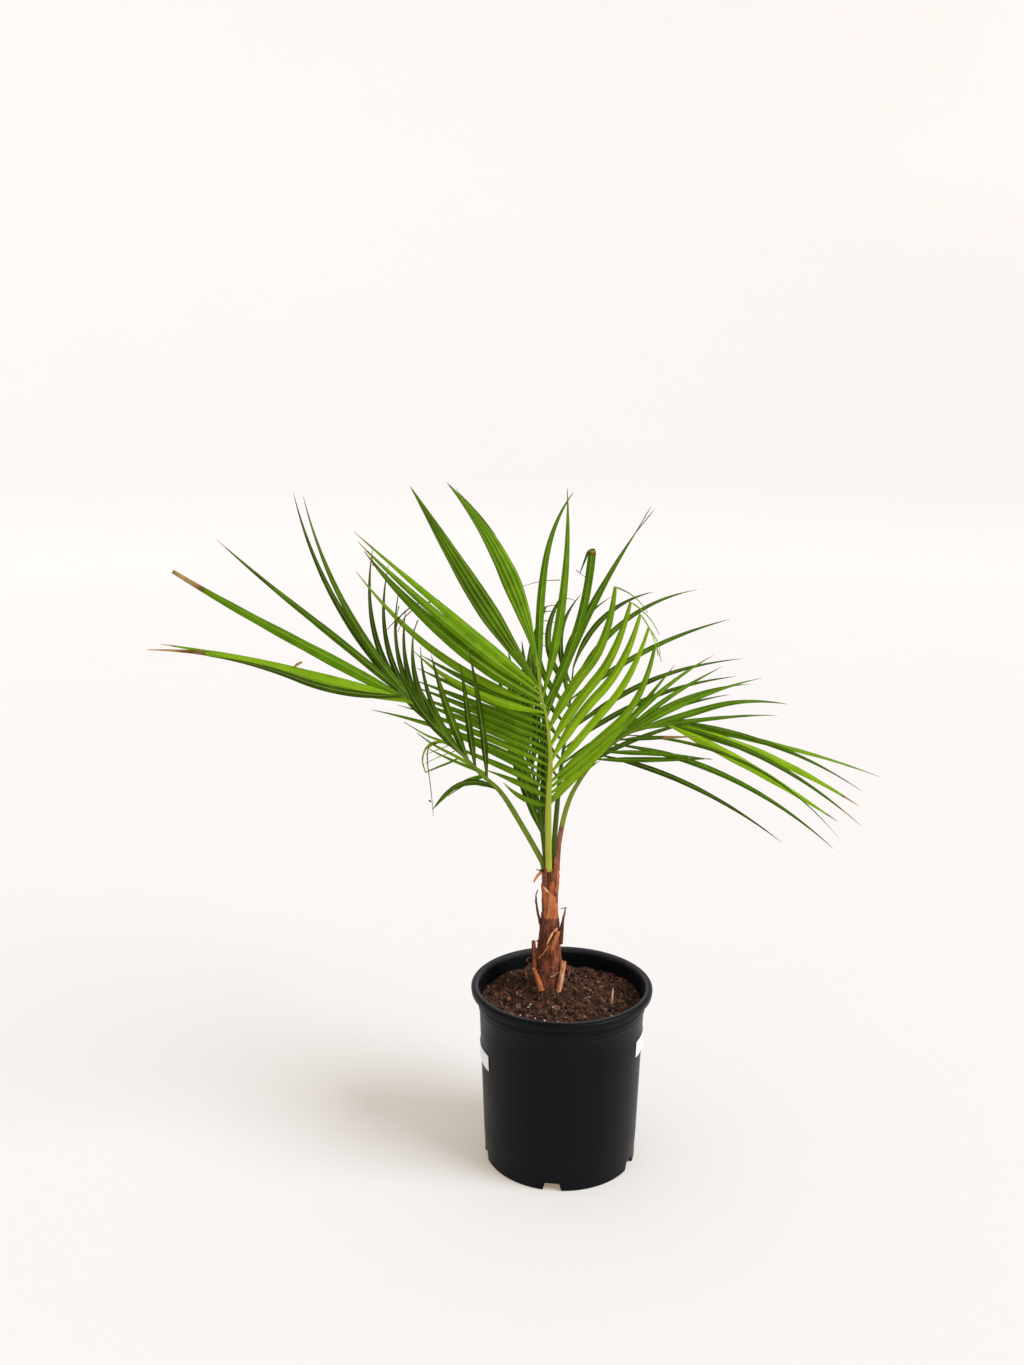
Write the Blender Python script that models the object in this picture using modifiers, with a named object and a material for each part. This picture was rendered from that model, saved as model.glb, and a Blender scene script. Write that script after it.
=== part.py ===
"""A young high plateau coconut palm in a black nursery pot, in Blender.

The pot stands on the XY plane with its base centre at the origin, +Z up and the side seen in
the photograph towards -Y. Numbers below are millimetres and degrees, and MM turns them into
metres where a mesh is made.
"""

import math
import random

import bmesh
import bpy
from mathutils import Matrix, Vector

OBJECT = "potted_high_plateau_coconut_palm"
MM = 0.001
GAP = 0.3                      # clearance between touching pieces

# Pot: a standard one-gallon nursery pot.
POT_H = 169.5
RIM_R = 83.5
RIM_BAND = 7.0                 # height of the rolled rim
RIM_LIP = 6.5                  # width of its flat top
BODY_TOP_R = 75.8
BASE_R = 70.5
STEP_Z = 148.0                 # ledge where the neck widens
NECK_R = 76.8
WALL = 1.8
FLOOR_T = 2.2
DISH_R = 52.0                  # middle of the base, which touches the ground
CHANNEL_R = 66.5               # outer edge of the raised ring round it
CHANNEL_Z = 8.0
POT_STEPS = 48
NOTCHES = 5
NOTCH_TURN = -97.5             # bearing of the notch that faces the viewer
NOTCH_FOOT_W = 18.0
NOTCH_TOP_W = 12.0
NOTCH_H = 7.4
NOTCH_MIDDLE_R = 67.5          # middle of the wedge that cuts a notch, and its depth
NOTCH_CUT = 12.0
BELOW = 2.0                    # how far a cutter reaches past the face that it opens

# Soil: fills the pot to just above the ledge and rises to the stem.
SOIL_EDGE_Z = 152.0
SOIL_RISE = 6.0
SOIL_RINGS = 9
SOIL_SEGMENTS = 40

# Stem: stands in a hole in the soil, a little behind and left of the pot's axis.
STEM_X = -11.5
STEM_Y = 15.0
STEM_FOOT_Z = 112.0
STEM_TOP_Z = 275.6
STEM_R = 14.2                  # below the soil
STEM_PROFILE = [               # height and radius above the soil
    (158, 14.2), (166, 14.4), (176, 13.8), (186, 12.6), (196, 11.2), (206, 10.2),
    (218, 9.2), (232, 8.3), (250, 7.7), (264, 7.9), (STEM_TOP_Z, 8.6),
]

# Old stalk stubs on the stem: points from inside it to the cut end, and the two radii.
STUBS = [
    ([(-20, 13, 172), (-25, 10, 186), (-27, 9, 203)], (3.0, 2.2)),
    ([(-14, 6, 188), (-20, 1, 176), (-23, -1, 166)], (3.0, 2.2)),
    ([(-6, 8, 166), (1, 5, 176), (4, 5, 186)], (2.6, 2.4)),
    ([(-4, 24, 168), (1, 29, 178), (2, 31, 192)], (2.8, 2.2)),
]
# Torn strips of sheath: points from inside the stem to the loose tip, and three widths.
STRIPS = [
    ([(-12, 15, 206), (-20, 12, 221), (-25, 9, 239), (-23, 9, 256)], (7.0, 4.2, 1.2)),
    ([(-12, 15, 206), (-3, 10, 222), (1, 8, 236), (2, 6, 241)], (7.0, 4.6, 1.4)),
    ([(-12, 15, 254), (-20, 10, 266), (-26, 7, 272), (-31, 5, 272)], (8.0, 6.0, 2.2)),
    ([(-12, 15, 226), (-2, 21, 245), (2, 25, 262)], (7.0, 4.2, 1.4)),
    ([(-12, 15, 210), (-17, 26, 234), (-20, 31, 252)], (7.0, 4.2, 1.2)),
]

# Bare stickers on the pot's two sides: bearing, middle height, height, arc length.
LABELS = {"label_left": (191.0, 105.5, 15.0, 40.5), "label_right": (-14.0, 121.0, 15.0, 36.0)}
LABEL_T = 0.5
LABEL_GAP = 0.35               # between a label and the wall
LABEL_COLUMNS = 9

LEAF_T = 1.1                   # blade thickness at its midrib
LEAF_STEPS = 7
LEAF_FOLD = 0.16               # height of a leaflet's fold, as a share of its width

# A stalk's route is a list of points from its sheath to its end. A leaflet key is
#   (share of the stalk, length, lean from upright to the right, depth of the tip behind
#    the root, bend sideways and droop of the end as shares of the length, width).
# Leaflets between two keys are blends of them.
FRONDS = {
    "frond_front": {
        "route": [(-13, 9, 276), (-14, 2, 342), (-13, -6, 387), (-17, -14, 426),
                  (-22, -19, 447), (-27, -30, 485)],
        "radii": (2.7, 2.5, 0.9),
        "face": (0, -1, 0.25),
        "rows": [
            (12, [
                (0.30, 44, -68, 14, -0.10, 0.00, 5.5),
                (0.335, 60, -71, 18, 0.02, 0.00, 6.0),
                (0.375, 100, -68, 20, 0.02, 0.00, 6.0),
                (0.41, 140, -66, 20, 0.02, 0.02, 6.0),
                (0.445, 170, -71, 22, 0.03, 0.01, 6.0),
                (0.50, 136, -69, 20, 0.02, 0.00, 6.5),
                (0.63, 126, -69, 15, 0.01, 0.00, 7.0),
                (0.70, 122, -64, 8, -0.01, 0.00, 7.0),
            ]),
            (1, [(0.73, 127, -63, -16, -0.08, 0.00, 7.0)]),
            (1, [(0.757, 199, -53, -20, -0.08, 0.00, 7.0)]),
            (1, [(0.782, 200, -47, -48, -0.055, 0.00, 12.0)]),
            (1, [(0.815, 203, -47, -58, -0.025, 0.00, 8.5)]),
            (1, [(0.84, 207, -47.2, -52, -0.005, 0.00, 8.0)]),
            (1, [(0.84, 206, -31.4, -40, -0.008, 0.00, 17.0)]),
            (1, [(0.95, 173, -25.5, -25, 0.065, 0.00, 16.0)]),
            (4, [
                (0.30, 62, 46, -6, -0.04, 0.00, 5.5),
                (0.345, 98, 43, -8, 0.05, 0.00, 6.0),
                (0.378, 122, 46, -10, 0.01, -0.075, 6.5),
            ]),
            (1, [(0.405, 146, 46, -12, 0.00, -0.18, 7.0)]),
            (1, [(0.446, 149, 39, -14, -0.012, -0.13, 7.0)]),
            (1, [(0.50, 142, 39.5, -16, -0.065, -0.19, 8.0)]),
            (1, [(0.57, 135, 37, -18, -0.055, -0.18, 8.0)]),
            (1, [(0.647, 124, 35, -20, -0.058, -0.23, 8.5)]),
            (1, [(0.71, 184, 24.5, -14, -0.04, 0.00, 8.5)]),
            (1, [(0.757, 143, 16, -10, 0.05, 0.00, 7.5)]),
            (1, [(0.797, 182, 6, -8, 0.04, 0.00, 7.5)]),
            (1, [(0.84, 184, 5.5, 4, -0.042, 0.08, 7.0)]),
        ],
    },
    "frond_left": {
        "route": [(-18.5, 13, 276), (-40.5, 2, 326), (-57, -12, 357), (-74, -24, 377),
                  (-96, -42, 407), (-124, -60, 446), (-142, -69, 461)],
        "radii": (2.3, 2.2, 1.2),
        "face": (-0.2, -0.8, 0.6),
        "rows": [
            (6, [
                (0.58, 108, -25, 32, -0.10, 0.00, 5.0),
                (0.62, 118, -23, 34, -0.15, 0.00, 7.0),
                (0.70, 149, -19, 36, -0.16, 0.00, 5.0),
                (0.75, 165, -21, 36, -0.16, 0.00, 6.0),
            ]),
            (1, [(0.78, 223, -31, 36, -0.075, 0.00, 6.5)]),
            (1, [(0.81, 223, -33, 54, -0.082, 0.00, 6.0)]),
            (1, [(0.865, 223, -50.5, 16, 0.00, 0.00, 6.5)]),
            (1, [(0.90, 228, -60.5, -4, -0.008, 0.00, 10.0)]),
            (1, [(0.40, 58, -101, -20, 0.26, 0.00, 6.0)]),
            (1, [(0.475, 123, -7, -24, 0.02, 0.00, 6.0)]),
            (1, [(0.546, 99, -7, -24, 0.00, 0.00, 6.0)]),
            (1, [(0.593, 103, -17, -24, -0.02, 0.00, 7.0)]),
            (2, [
                (0.64, 84, -26, -30, -0.05, 0.00, 6.0),
                (0.71, 80, -30, -34, -0.06, 0.00, 6.0),
            ]),
            (1, [(0.93, 205, -74.5, -36, 0.012, 0.00, 8.5)]),
            (1, [(0.965, 151, -64, -62, -0.11, 0.14, 6.0)]),
            (1, [(0.92, 208, -69, -50, -0.03, 0.10, 9.5)]),
        ],
    },
    "frond_right": {
        "route": [(-5, 14, 276), (-3, 17, 304), (3, 20, 332), (13, 24, 354), (33, 30, 379),
                  (61, 36, 399), (94, 41, 408), (116, 44, 409)],
        "radii": (2.3, 2.0, 1.2),
        "face": (0.2, -0.8, 0.6),
        "rows": [
            (7, [
                (0.57, 100, 45, 52, 0.00, 0.00, 5.0),
                (0.60, 128, 54, 56, -0.06, 0.00, 5.0),
                (0.63, 123, 59, 52, -0.04, 0.00, 5.0),
                (0.66, 135, 71, 44, -0.09, 0.00, 5.0),
                (0.69, 139, 70.3, 40, -0.05, 0.00, 5.5),
                (0.72, 145, 76, 20, -0.02, 0.08, 6.5),
                (0.75, 131, 85, 8, -0.03, 0.00, 5.0),
            ]),
            (1, [(0.89, 209, 105, 10, -0.02, 0.00, 6.0)]),
            (1, [(0.93, 184, 110, -10, -0.055, 0.00, 5.0)]),
            (1, [(0.86, 192, 111, -28, -0.05, 0.00, 10.0)]),
            (1, [(0.87, 194, 115, -46, -0.07, 0.00, 5.0)]),
            (1, [(0.88, 167, 116.5, -58, -0.02, 0.00, 9.5)]),
            (1, [(0.53, 98, 80, -54, 0.01, 0.00, 5.0)]),
            (1, [(0.575, 91, 83, -62, -0.02, 0.00, 5.0)]),
            (1, [(0.555, 159, 109, -88, -0.07, 0.00, 5.0)]),
            (1, [(0.66, 68, 77, -44, -0.01, 0.00, 4.0)]),
            (1, [(0.63, 200, 111, -78, -0.09, 0.00, 5.5)]),
            (1, [(0.70, 198, 112, -66, -0.12, 0.00, 4.0)]),
        ],
    },
    "frond_back": {
        "route": [(-8.5, 20.4, 276), (-6, 34, 316), (-1, 54, 362), (6, 78, 404), (11, 98, 448)],
        "radii": (2.3, 2.1, 0.9),
        "face": (0, -0.8, 0.6),
        "rows": [
            (4, [
                (0.42, 166, 74, 60, -0.06, 0.00, 5.0),
                (0.65, 182, 70, 60, -0.08, 0.00, 5.5),
            ]),
            (1, [(0.825, 171, 67, 66, -0.05, 0.00, 5.5)]),
            (1, [(0.873, 152, 55, 60, -0.134, 0.00, 5.5)]),
            (1, [(0.99, 102, 51.5, 56, -0.15, 0.00, 5.5)]),
            (1, [(0.80, 105, 23, 44, -0.20, 0.00, 5.5)]),
            (1, [(0.90, 81, 7, 40, -0.19, 0.00, 5.5)]),
            (6, [
                (0.42, 116, -12, 66, -0.16, 0.00, 6.0),
                (0.74, 98, -13, 56, -0.20, 0.00, 6.0),
                (0.80, 86, -15, 56, -0.20, 0.00, 6.0),
                (0.88, 79, -8, 40, -0.21, 0.00, 6.0),
            ]),
        ],
    },
    "frond_young": {
        "route": [(-15.5, 20.4, 276), (-20, 27, 318), (-28, 35, 364), (-36, 43, 414)],
        "radii": (2.3, 1.9, 0.8),
        "face": (0.1, -1, 0.2),
        "rows": [
            (6, [
                (0.20, 100, -22, 10, 0.00, 0.00, 7.0),
                (0.50, 108, -24, 14, -0.02, 0.00, 7.5),
                (0.95, 66, -14, 12, -0.02, 0.00, 7.0),
            ]),
            (6, [
                (0.17, 92, 0, 12, 0.02, 0.00, 6.5),
                (0.48, 106, 4, 14, 0.03, 0.00, 7.0),
                (0.97, 70, -2, 12, 0.02, 0.00, 7.0),
            ]),
        ],
    },
}

COLOURS = {
    "pot": ((0.016, 0.018, 0.022), 0.38),
    "soil": ((0.050, 0.028, 0.018), 0.95),
    "stem": ((0.190, 0.080, 0.035), 0.85),
    "label_left": ((0.80, 0.80, 0.79), 0.50),
    "label_right": ((0.80, 0.80, 0.79), 0.50),
    "frond_front": ((0.170, 0.340, 0.040), 0.45),
    "frond_left": ((0.090, 0.220, 0.035), 0.45),
    "frond_right": ((0.120, 0.280, 0.035), 0.45),
    "frond_back": ((0.080, 0.200, 0.035), 0.45),
    "frond_young": ((0.060, 0.170, 0.030), 0.45),
}


def clear_scene():
    for obj in list(bpy.data.objects):
        bpy.data.objects.remove(obj, do_unlink=True)


def collection(name):
    made = bpy.data.collections.new(name)
    bpy.context.scene.collection.children.link(made)
    return made


def material(name):
    colour, roughness = COLOURS[name]
    made = bpy.data.materials.new(name)
    made.use_nodes = True
    shader = made.node_tree.nodes["Principled BSDF"]
    shader.inputs["Base Color"].default_value = (*colour, 1.0)
    shader.inputs["Roughness"].default_value = roughness
    shader.inputs["Metallic"].default_value = 0.0
    return made


def add(name, mesh, home):
    obj = bpy.data.objects.new(name, mesh)
    home.objects.link(obj)
    return obj


def from_bmesh(bm, name, home):
    mesh = bpy.data.meshes.new(name)
    bm.to_mesh(mesh)
    bm.free()
    return add(name, mesh, home)


def evaluated_mesh(obj):
    bpy.context.view_layer.update()
    depsgraph = bpy.context.evaluated_depsgraph_get()
    return bpy.data.meshes.new_from_object(obj.evaluated_get(depsgraph))


def as_mesh_object(obj, home):
    """The object's evaluated shape as a plain welded mesh, in its place and name."""
    mesh = evaluated_mesh(obj)
    name = obj.name
    matrix = obj.matrix_world.copy()
    bpy.data.objects.remove(obj, do_unlink=True)
    bm = bmesh.new()
    bm.from_mesh(mesh)
    bmesh.ops.remove_doubles(bm, verts=bm.verts, dist=1e-6)
    bmesh.ops.recalc_face_normals(bm, faces=bm.faces)
    made = from_bmesh(bm, name, home)
    made.matrix_world = matrix
    return made


def finish(obj):
    """Gives a finished solid its material and smooth shading with sharp edges kept."""
    obj.data.materials.clear()
    obj.data.materials.append(material(obj.name))
    obj.data.shade_smooth()
    obj.data.set_sharp_from_angle(angle=math.radians(38))


def smooth_route(points, spacing):
    """Points about spacing apart on a Catmull-Rom curve through the given ones."""
    pts = [Vector(p) for p in points]
    ends = [2 * pts[0] - pts[1]] + pts + [2 * pts[-1] - pts[-2]]
    out = []
    for a, b, c, d in zip(ends, ends[1:], ends[2:], ends[3:]):
        steps = max(1, round((c - b).length / spacing))
        for i in range(steps):
            t = i / steps
            out.append(0.5 * ((2 * b) + (c - a) * t + (2 * a - 5 * b + 4 * c - d) * t * t
                              + (3 * b - a - 3 * c + d) * t ** 3))
    out.append(pts[-1])
    return out


def shares(points):
    """How far along the line each point lies, from 0 to 1."""
    run = [0.0]
    for a, b in zip(points, points[1:]):
        run.append(run[-1] + (b - a).length)
    return [r / run[-1] for r in run]


def blend(value, keys, column):
    """The column's value at a key value, straight between the keys."""
    if value <= keys[0][0]:
        return keys[0][column]
    for low, high in zip(keys, keys[1:]):
        if value <= high[0]:
            t = (value - low[0]) / (high[0] - low[0])
            return low[column] + t * (high[column] - low[column])
    return keys[-1][column]


def tube(name, points, radii, home, sides=2):
    """A tapered stalk: a poly curve with round section and closed ends, made a mesh."""
    curve = bpy.data.curves.new(name, "CURVE")
    curve.dimensions = "3D"
    curve.bevel_depth = MM
    curve.bevel_resolution = sides
    curve.use_fill_caps = True
    spline = curve.splines.new("POLY")
    spline.points.add(len(points) - 1)
    for node, point, radius in zip(spline.points, points, radii):
        node.co = (*(Vector(point) * MM), 1.0)
        node.radius = radius
    return as_mesh_object(add(name, curve, home), home)


def turned(name, profile, steps, home):
    """A profile of (radius, height) pairs turned round the Z axis by a Screw modifier."""
    mesh = bpy.data.meshes.new(name)
    mesh.from_pydata([(r * MM, 0, z * MM) for r, z in profile], [
        (i, i + 1) for i in range(len(profile) - 1)], [])
    obj = add(name, mesh, home)
    screw = obj.modifiers.new("turn", "SCREW")
    screw.steps = steps
    screw.render_steps = steps
    screw.use_merge_vertices = True
    screw.merge_threshold = 1e-5
    return as_mesh_object(obj, home)


def boolean(obj, other, operation, solver="EXACT"):
    """Joins or cuts obj by an object or a whole collection, and applies it."""
    modifier = obj.modifiers.new("cut", "BOOLEAN")
    modifier.operation = operation
    modifier.solver = solver
    if isinstance(other, bpy.types.Collection):
        modifier.operand_type = "COLLECTION"
        modifier.collection = other
    else:
        modifier.object = other
    obj.data = evaluated_mesh(obj)
    obj.modifiers.clear()


def volume(faces):
    """Signed volume inside a set of faces."""
    total = 0.0
    for face in faces:
        first = face.verts[0].co
        for a, b in zip(face.verts[1:], face.verts[2:]):
            total += first.dot(a.co.cross(b.co)) / 6
    return total


def keep_main_body(obj):
    """Drops loose scraps and fills sealed hollows, so that one closed body is left."""
    bm = bmesh.new()
    bm.from_mesh(obj.data)
    bmesh.ops.triangulate(bm, faces=bm.faces)
    left = set(bm.faces)
    bodies = []
    while left:
        stack = [left.pop()]
        body = set(stack)
        while stack:
            for edge in stack.pop().edges:
                for face in edge.link_faces:
                    if face in left:
                        left.remove(face)
                        body.add(face)
                        stack.append(face)
        bodies.append(body)
    main = max(bodies, key=volume)
    scraps = [face for body in bodies if body is not main for face in body]
    bmesh.ops.delete(bm, geom=scraps, context="FACES")
    bm.to_mesh(obj.data)
    bm.free()


def fuse(obj, parts, solver):
    """One union of obj with everything in the collection, which is then removed."""
    boolean(obj, parts, "UNION", solver)
    for part in list(parts.objects):
        bpy.data.objects.remove(part, do_unlink=True)
    bpy.data.collections.remove(parts)
    keep_main_body(obj)


def blade(name, centres, face, widths, fold, home):
    """A thin leaflet that faces one way, folded along its midrib and closed at both ends."""
    bm = bmesh.new()
    rings = []
    last = len(centres) - 1
    for i, (centre, width) in enumerate(zip(centres, widths)):
        ahead = (centres[min(i + 1, last)] - centres[max(i - 1, 0)]).normalized()
        side = face.cross(ahead).normalized()
        up = ahead.cross(side)
        half = side * width / 2
        rise = up * width * fold
        thick = up * LEAF_T / 2 * (1 - 0.35 * i / last)
        corners = [centre + half, centre + rise + thick, centre - half, centre + rise - thick]
        rings.append([bm.verts.new(c * MM) for c in corners])
    for a, b in zip(rings, rings[1:]):
        for k in range(4):
            bm.faces.new((a[k], a[(k + 1) % 4], b[(k + 1) % 4], b[k]))
    bm.faces.new(list(reversed(rings[0])))
    bm.faces.new(rings[-1])
    bmesh.ops.recalc_face_normals(bm, faces=bm.faces)
    bmesh.ops.triangulate(bm, faces=bm.faces)
    return from_bmesh(bm, name, home)


def leaflet(root, face, key, play, rng, name, home):
    """One leaflet from its root on the stalk, leaning and bending as its key says.
    Play is 1 where it may differ a little from its key, and 0 where it may not."""
    length, lean, depth, bend, droop, width = key
    lean = math.radians(lean + play * rng.uniform(-0.5, 0.5))
    length *= 1 + play * rng.uniform(-0.015, 0.01)
    depth += play * rng.uniform(-1.5, 1.5)
    out = Vector((math.sin(lean), 0, math.cos(lean)))
    aside = Vector((math.cos(lean), 0, -math.sin(lean)))
    fall = Vector((math.copysign(0.6, lean), 0, -1))
    twist = Matrix.Rotation(math.radians(rng.uniform(-14, 14)), 3, out)
    centres = []
    widths = []
    for i in range(LEAF_STEPS + 1):
        u = i / LEAF_STEPS
        hang = max(0.0, (u - 0.55) / 0.45) ** 2
        centre = root + out * length * u + aside * length * bend * 4 * u * (1 - u)
        centres.append(centre + Vector((0, depth * u, 0)) + fall * length * droop * hang)
        swell = min(1.0, 0.42 + 0.58 * u / 0.25)
        fade = 1 - max(0.0, (u - 0.4) / 0.6) ** 1.5 * 0.86
        widths.append(width * swell * fade)
    return blade(name, centres, twist @ face, widths, LEAF_FOLD, home)


def line_point(line, along, share):
    """The point at a share of the line's length."""
    for k in range(len(line) - 1):
        if share <= along[k + 1]:
            t = (share - along[k]) / (along[k + 1] - along[k])
            return line[k].lerp(line[k + 1], t)
    return line[-1].copy()


def frond(name, spec, home):
    """A stalk and its leaflets, fused into one body."""
    rng = random.Random(name)
    foot = Vector((*spec["route"][0][:2], STEM_TOP_Z + GAP))
    line = smooth_route([foot, foot + Vector((0, 0, 6))] + spec["route"][1:], 12)
    along = shares(line)
    foot, middle, end = spec["radii"]
    sizes = [(0.0, foot), (0.5, middle), (1.0, end)]
    stalk = tube(name, line, [blend(s, sizes, 1) for s in along], home, 1)
    face = Vector(spec["face"]).normalized()
    parts = collection(name + "_leaflets")
    for count, keys in spec["rows"]:
        for i in range(count):
            step = i / (count - 1) if count > 1 else 0.0
            share = keys[0][0] + step * (keys[-1][0] - keys[0][0])
            key = [blend(share, keys, column) for column in range(1, 7)]
            play = 1 if count > 1 else 0
            leaflet(line_point(line, along, share), face, key, play, rng, name + "_leaflet", parts)
    fuse(stalk, parts, "MANIFOLD")
    return stalk


def inner_radius(z):
    """The pot's inner wall at a height: the neck above the ledge, the taper below it."""
    if z > STEP_Z:
        return NECK_R - WALL
    return BASE_R + (BODY_TOP_R - BASE_R) * z / STEP_Z - WALL


def make_pot(home, cutters):
    band_z = POT_H - RIM_BAND
    lip_r = RIM_R - RIM_LIP
    floor_z = CHANNEL_Z + FLOOR_T
    profile = [
        (0, FLOOR_T), (DISH_R - 2, FLOOR_T), (DISH_R + 1.5, floor_z),
        (inner_radius(floor_z) - 2, floor_z), (inner_radius(floor_z + 2), floor_z + 2),
        (inner_radius(STEP_Z), STEP_Z - 0.4), (inner_radius(STEP_Z + 1), STEP_Z + 1.4),
        (lip_r, POT_H - 2.4), (lip_r + 0.7, POT_H - 0.7), (lip_r + 2.2, POT_H),
        (RIM_R - 2.4, POT_H - 0.3), (RIM_R - 0.7, POT_H - 1.2), (RIM_R, POT_H - 2.8),
        (RIM_R - 0.5, band_z + 0.6), (RIM_R - 1.3, band_z), (NECK_R + 1.2, band_z + 0.3),
        (NECK_R, band_z - 1.0), (NECK_R, STEP_Z + 0.8), (BODY_TOP_R, STEP_Z - 0.6),
        (BASE_R + 0.2, 5), (BASE_R - 0.5, 1.0), (BASE_R - 1.4, 0), (CHANNEL_R, 0),
        (CHANNEL_R - 1, CHANNEL_Z), (DISH_R + 2.5, CHANNEL_Z), (DISH_R, 0), (0, 0),
    ]
    pot = turned("pot", profile, POT_STEPS, home)
    for i in range(NOTCHES):
        cutter = notch_cutter(math.radians(NOTCH_TURN + 360 / NOTCHES * i), cutters)
        boolean(pot, cutter, "DIFFERENCE")
    keep_main_body(pot)
    return pot


def notch_cutter(bearing, cutters):
    """A wedge that opens one drainage notch through the foot of the wall."""
    bm = bmesh.new()
    bmesh.ops.create_cube(bm, size=1)
    for v in bm.verts:
        top = v.co.z > 0
        half = (NOTCH_TOP_W if top else NOTCH_FOOT_W) / 2
        z = NOTCH_H if top else -BELOW
        v.co = Vector((NOTCH_MIDDLE_R + v.co.x * NOTCH_CUT, math.copysign(half, v.co.y), z)) * MM
    bmesh.ops.recalc_face_normals(bm, faces=bm.faces)
    cutter = from_bmesh(bm, "notch", cutters)
    cutter.matrix_world = Matrix.Rotation(bearing, 4, "Z")
    return hide(cutter)


def hide(cutter):
    cutter.hide_render = True
    cutter.display_type = "WIRE"
    return cutter


def soil_height(x, y):
    """Lumpy potting mix, highest round the stem."""
    from_stem = math.hypot(x - STEM_X, y - STEM_Y)
    mound = SOIL_RISE * math.exp(-(from_stem / 38) ** 2)
    lumps = 1.1 * math.sin(x * 0.21 + 1.3) * math.sin(y * 0.19 + 0.4)
    lumps += 0.7 * math.sin(x * 0.43 + y * 0.31) + 0.5 * math.sin(y * 0.57 - x * 0.37 + 2.0)
    calm = min(1.0, max(0.0, (from_stem - 15) / 14))
    return SOIL_EDGE_Z + mound + lumps * calm


def make_soil(home, cutters):
    """Turned outside to fit the pot, with a lumpy top, and a plain hole for the stem."""
    bottom = CHANNEL_Z + FLOOR_T + GAP
    edge = inner_radius(STEP_Z + 1) - GAP
    profile = [(edge * (i / SOIL_RINGS), SOIL_EDGE_Z) for i in range(SOIL_RINGS + 1)]
    profile += [(edge, STEP_Z + 2.2), (inner_radius(STEP_Z) - GAP, STEP_Z - 0.2),
                (inner_radius(bottom + 3) - GAP, bottom + 2.5), (DISH_R + 1.5 - GAP, bottom),
                (DISH_R - 2 - GAP, FLOOR_T + GAP), (0, FLOOR_T + GAP)]
    soil = turned("soil", profile, SOIL_SEGMENTS, home)
    for v in soil.data.vertices:
        if v.co.z > (SOIL_EDGE_Z - 0.1) * MM:
            v.co.z = soil_height(v.co.x / MM, v.co.y / MM) * MM
    hole_top = SOIL_EDGE_Z + SOIL_RISE + 10 * BELOW
    depth = hole_top - (STEM_FOOT_Z - GAP)
    bpy.ops.mesh.primitive_cylinder_add(vertices=32, radius=(STEM_R + 2 * GAP) * MM, depth=depth * MM,
                                        location=Vector((STEM_X, STEM_Y, hole_top - depth / 2)) * MM)
    cutter = bpy.context.active_object
    cutter.name = "stem_hole"
    for owner in list(cutter.users_collection):
        owner.objects.unlink(cutter)
    cutters.objects.link(cutter)
    boolean(soil, hide(cutter), "DIFFERENCE")
    keep_main_body(soil)
    return soil


def make_stem(home):
    """The stem with its old leaf bases: a turned core, wrapped sheaths, stubs and torn strips."""
    profile = [(0, STEM_TOP_Z)] + [(r, z) for z, r in reversed(STEM_PROFILE)]
    profile += [(STEM_R, STEM_FOOT_Z + 2), (STEM_R - 2, STEM_FOOT_Z), (0, STEM_FOOT_Z)]
    stem = turned("stem", profile, 24, home)
    for v in stem.data.vertices:
        z = v.co.z / MM
        radius = math.hypot(v.co.x, v.co.y)
        if z > SOIL_EDGE_Z + 12 and z < STEM_TOP_Z - 1 and radius > 0:
            turn = math.atan2(v.co.y, v.co.x)
            ripple = 1 + 0.05 * math.sin(3 * turn + z * 0.09) + 0.03 * math.sin(7 * turn - z * 0.05)
            v.co.x *= ripple
            v.co.y *= ripple
    stem.data.transform(Matrix.Translation(Vector((STEM_X, STEM_Y, 0)) * MM))
    parts = collection("stem_pieces")
    for points, radii in STUBS:
        tube("stub", smooth_route(points, 6), stub_radii(points, radii), parts, 1)
    for points, widths in STRIPS:
        line = smooth_route(points, 8)
        along = shares(line)
        sizes = [(0.0, widths[0]), (0.5, widths[1]), (1.0, widths[2])]
        outward = (line[-1] - Vector((STEM_X, STEM_Y, line[-1].z))).normalized()
        face = Vector((0, 0, 1)) - outward
        blade("strip", line, face, [blend(s, sizes, 1) for s in along], 0.0, parts)
    fuse(stem, parts, "EXACT")
    return stem


def stub_radii(points, radii):
    count = len(smooth_route(points, 6))
    return [radii[0] + (radii[1] - radii[0]) * i / (count - 1) for i in range(count)]


def make_label(name, home):
    """A bare sticker: a curved patch that lies on the pot's wall."""
    bearing, middle, height, arc = LABELS[name]
    bm = bmesh.new()
    inner = BASE_R + (BODY_TOP_R - BASE_R) * middle / STEP_Z + LABEL_GAP
    slope = (BODY_TOP_R - BASE_R) / STEP_Z
    grid = {}
    for i in range(LABEL_COLUMNS + 1):
        turn = math.radians(bearing) + arc / inner * (i / LABEL_COLUMNS - 0.5)
        for j, z in enumerate((middle - height / 2, middle + height / 2)):
            for k, lift in enumerate((0, LABEL_T)):
                r = inner + lift + slope * (z - middle)
                grid[i, j, k] = bm.verts.new(Vector((r * math.cos(turn), r * math.sin(turn), z)) * MM)
    for i in range(LABEL_COLUMNS):
        for a, b in (((0, 0), (0, 1)), ((0, 1), (1, 1)), ((1, 1), (1, 0)), ((1, 0), (0, 0))):
            bm.faces.new((grid[i, *a], grid[i, *b], grid[i + 1, *b], grid[i + 1, *a]))
    for i in (0, LABEL_COLUMNS):
        bm.faces.new([grid[i, 0, 0], grid[i, 0, 1], grid[i, 1, 1], grid[i, 1, 0]])
    bmesh.ops.recalc_face_normals(bm, faces=bm.faces)
    bmesh.ops.triangulate(bm, faces=bm.faces)
    return from_bmesh(bm, name, home)


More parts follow.
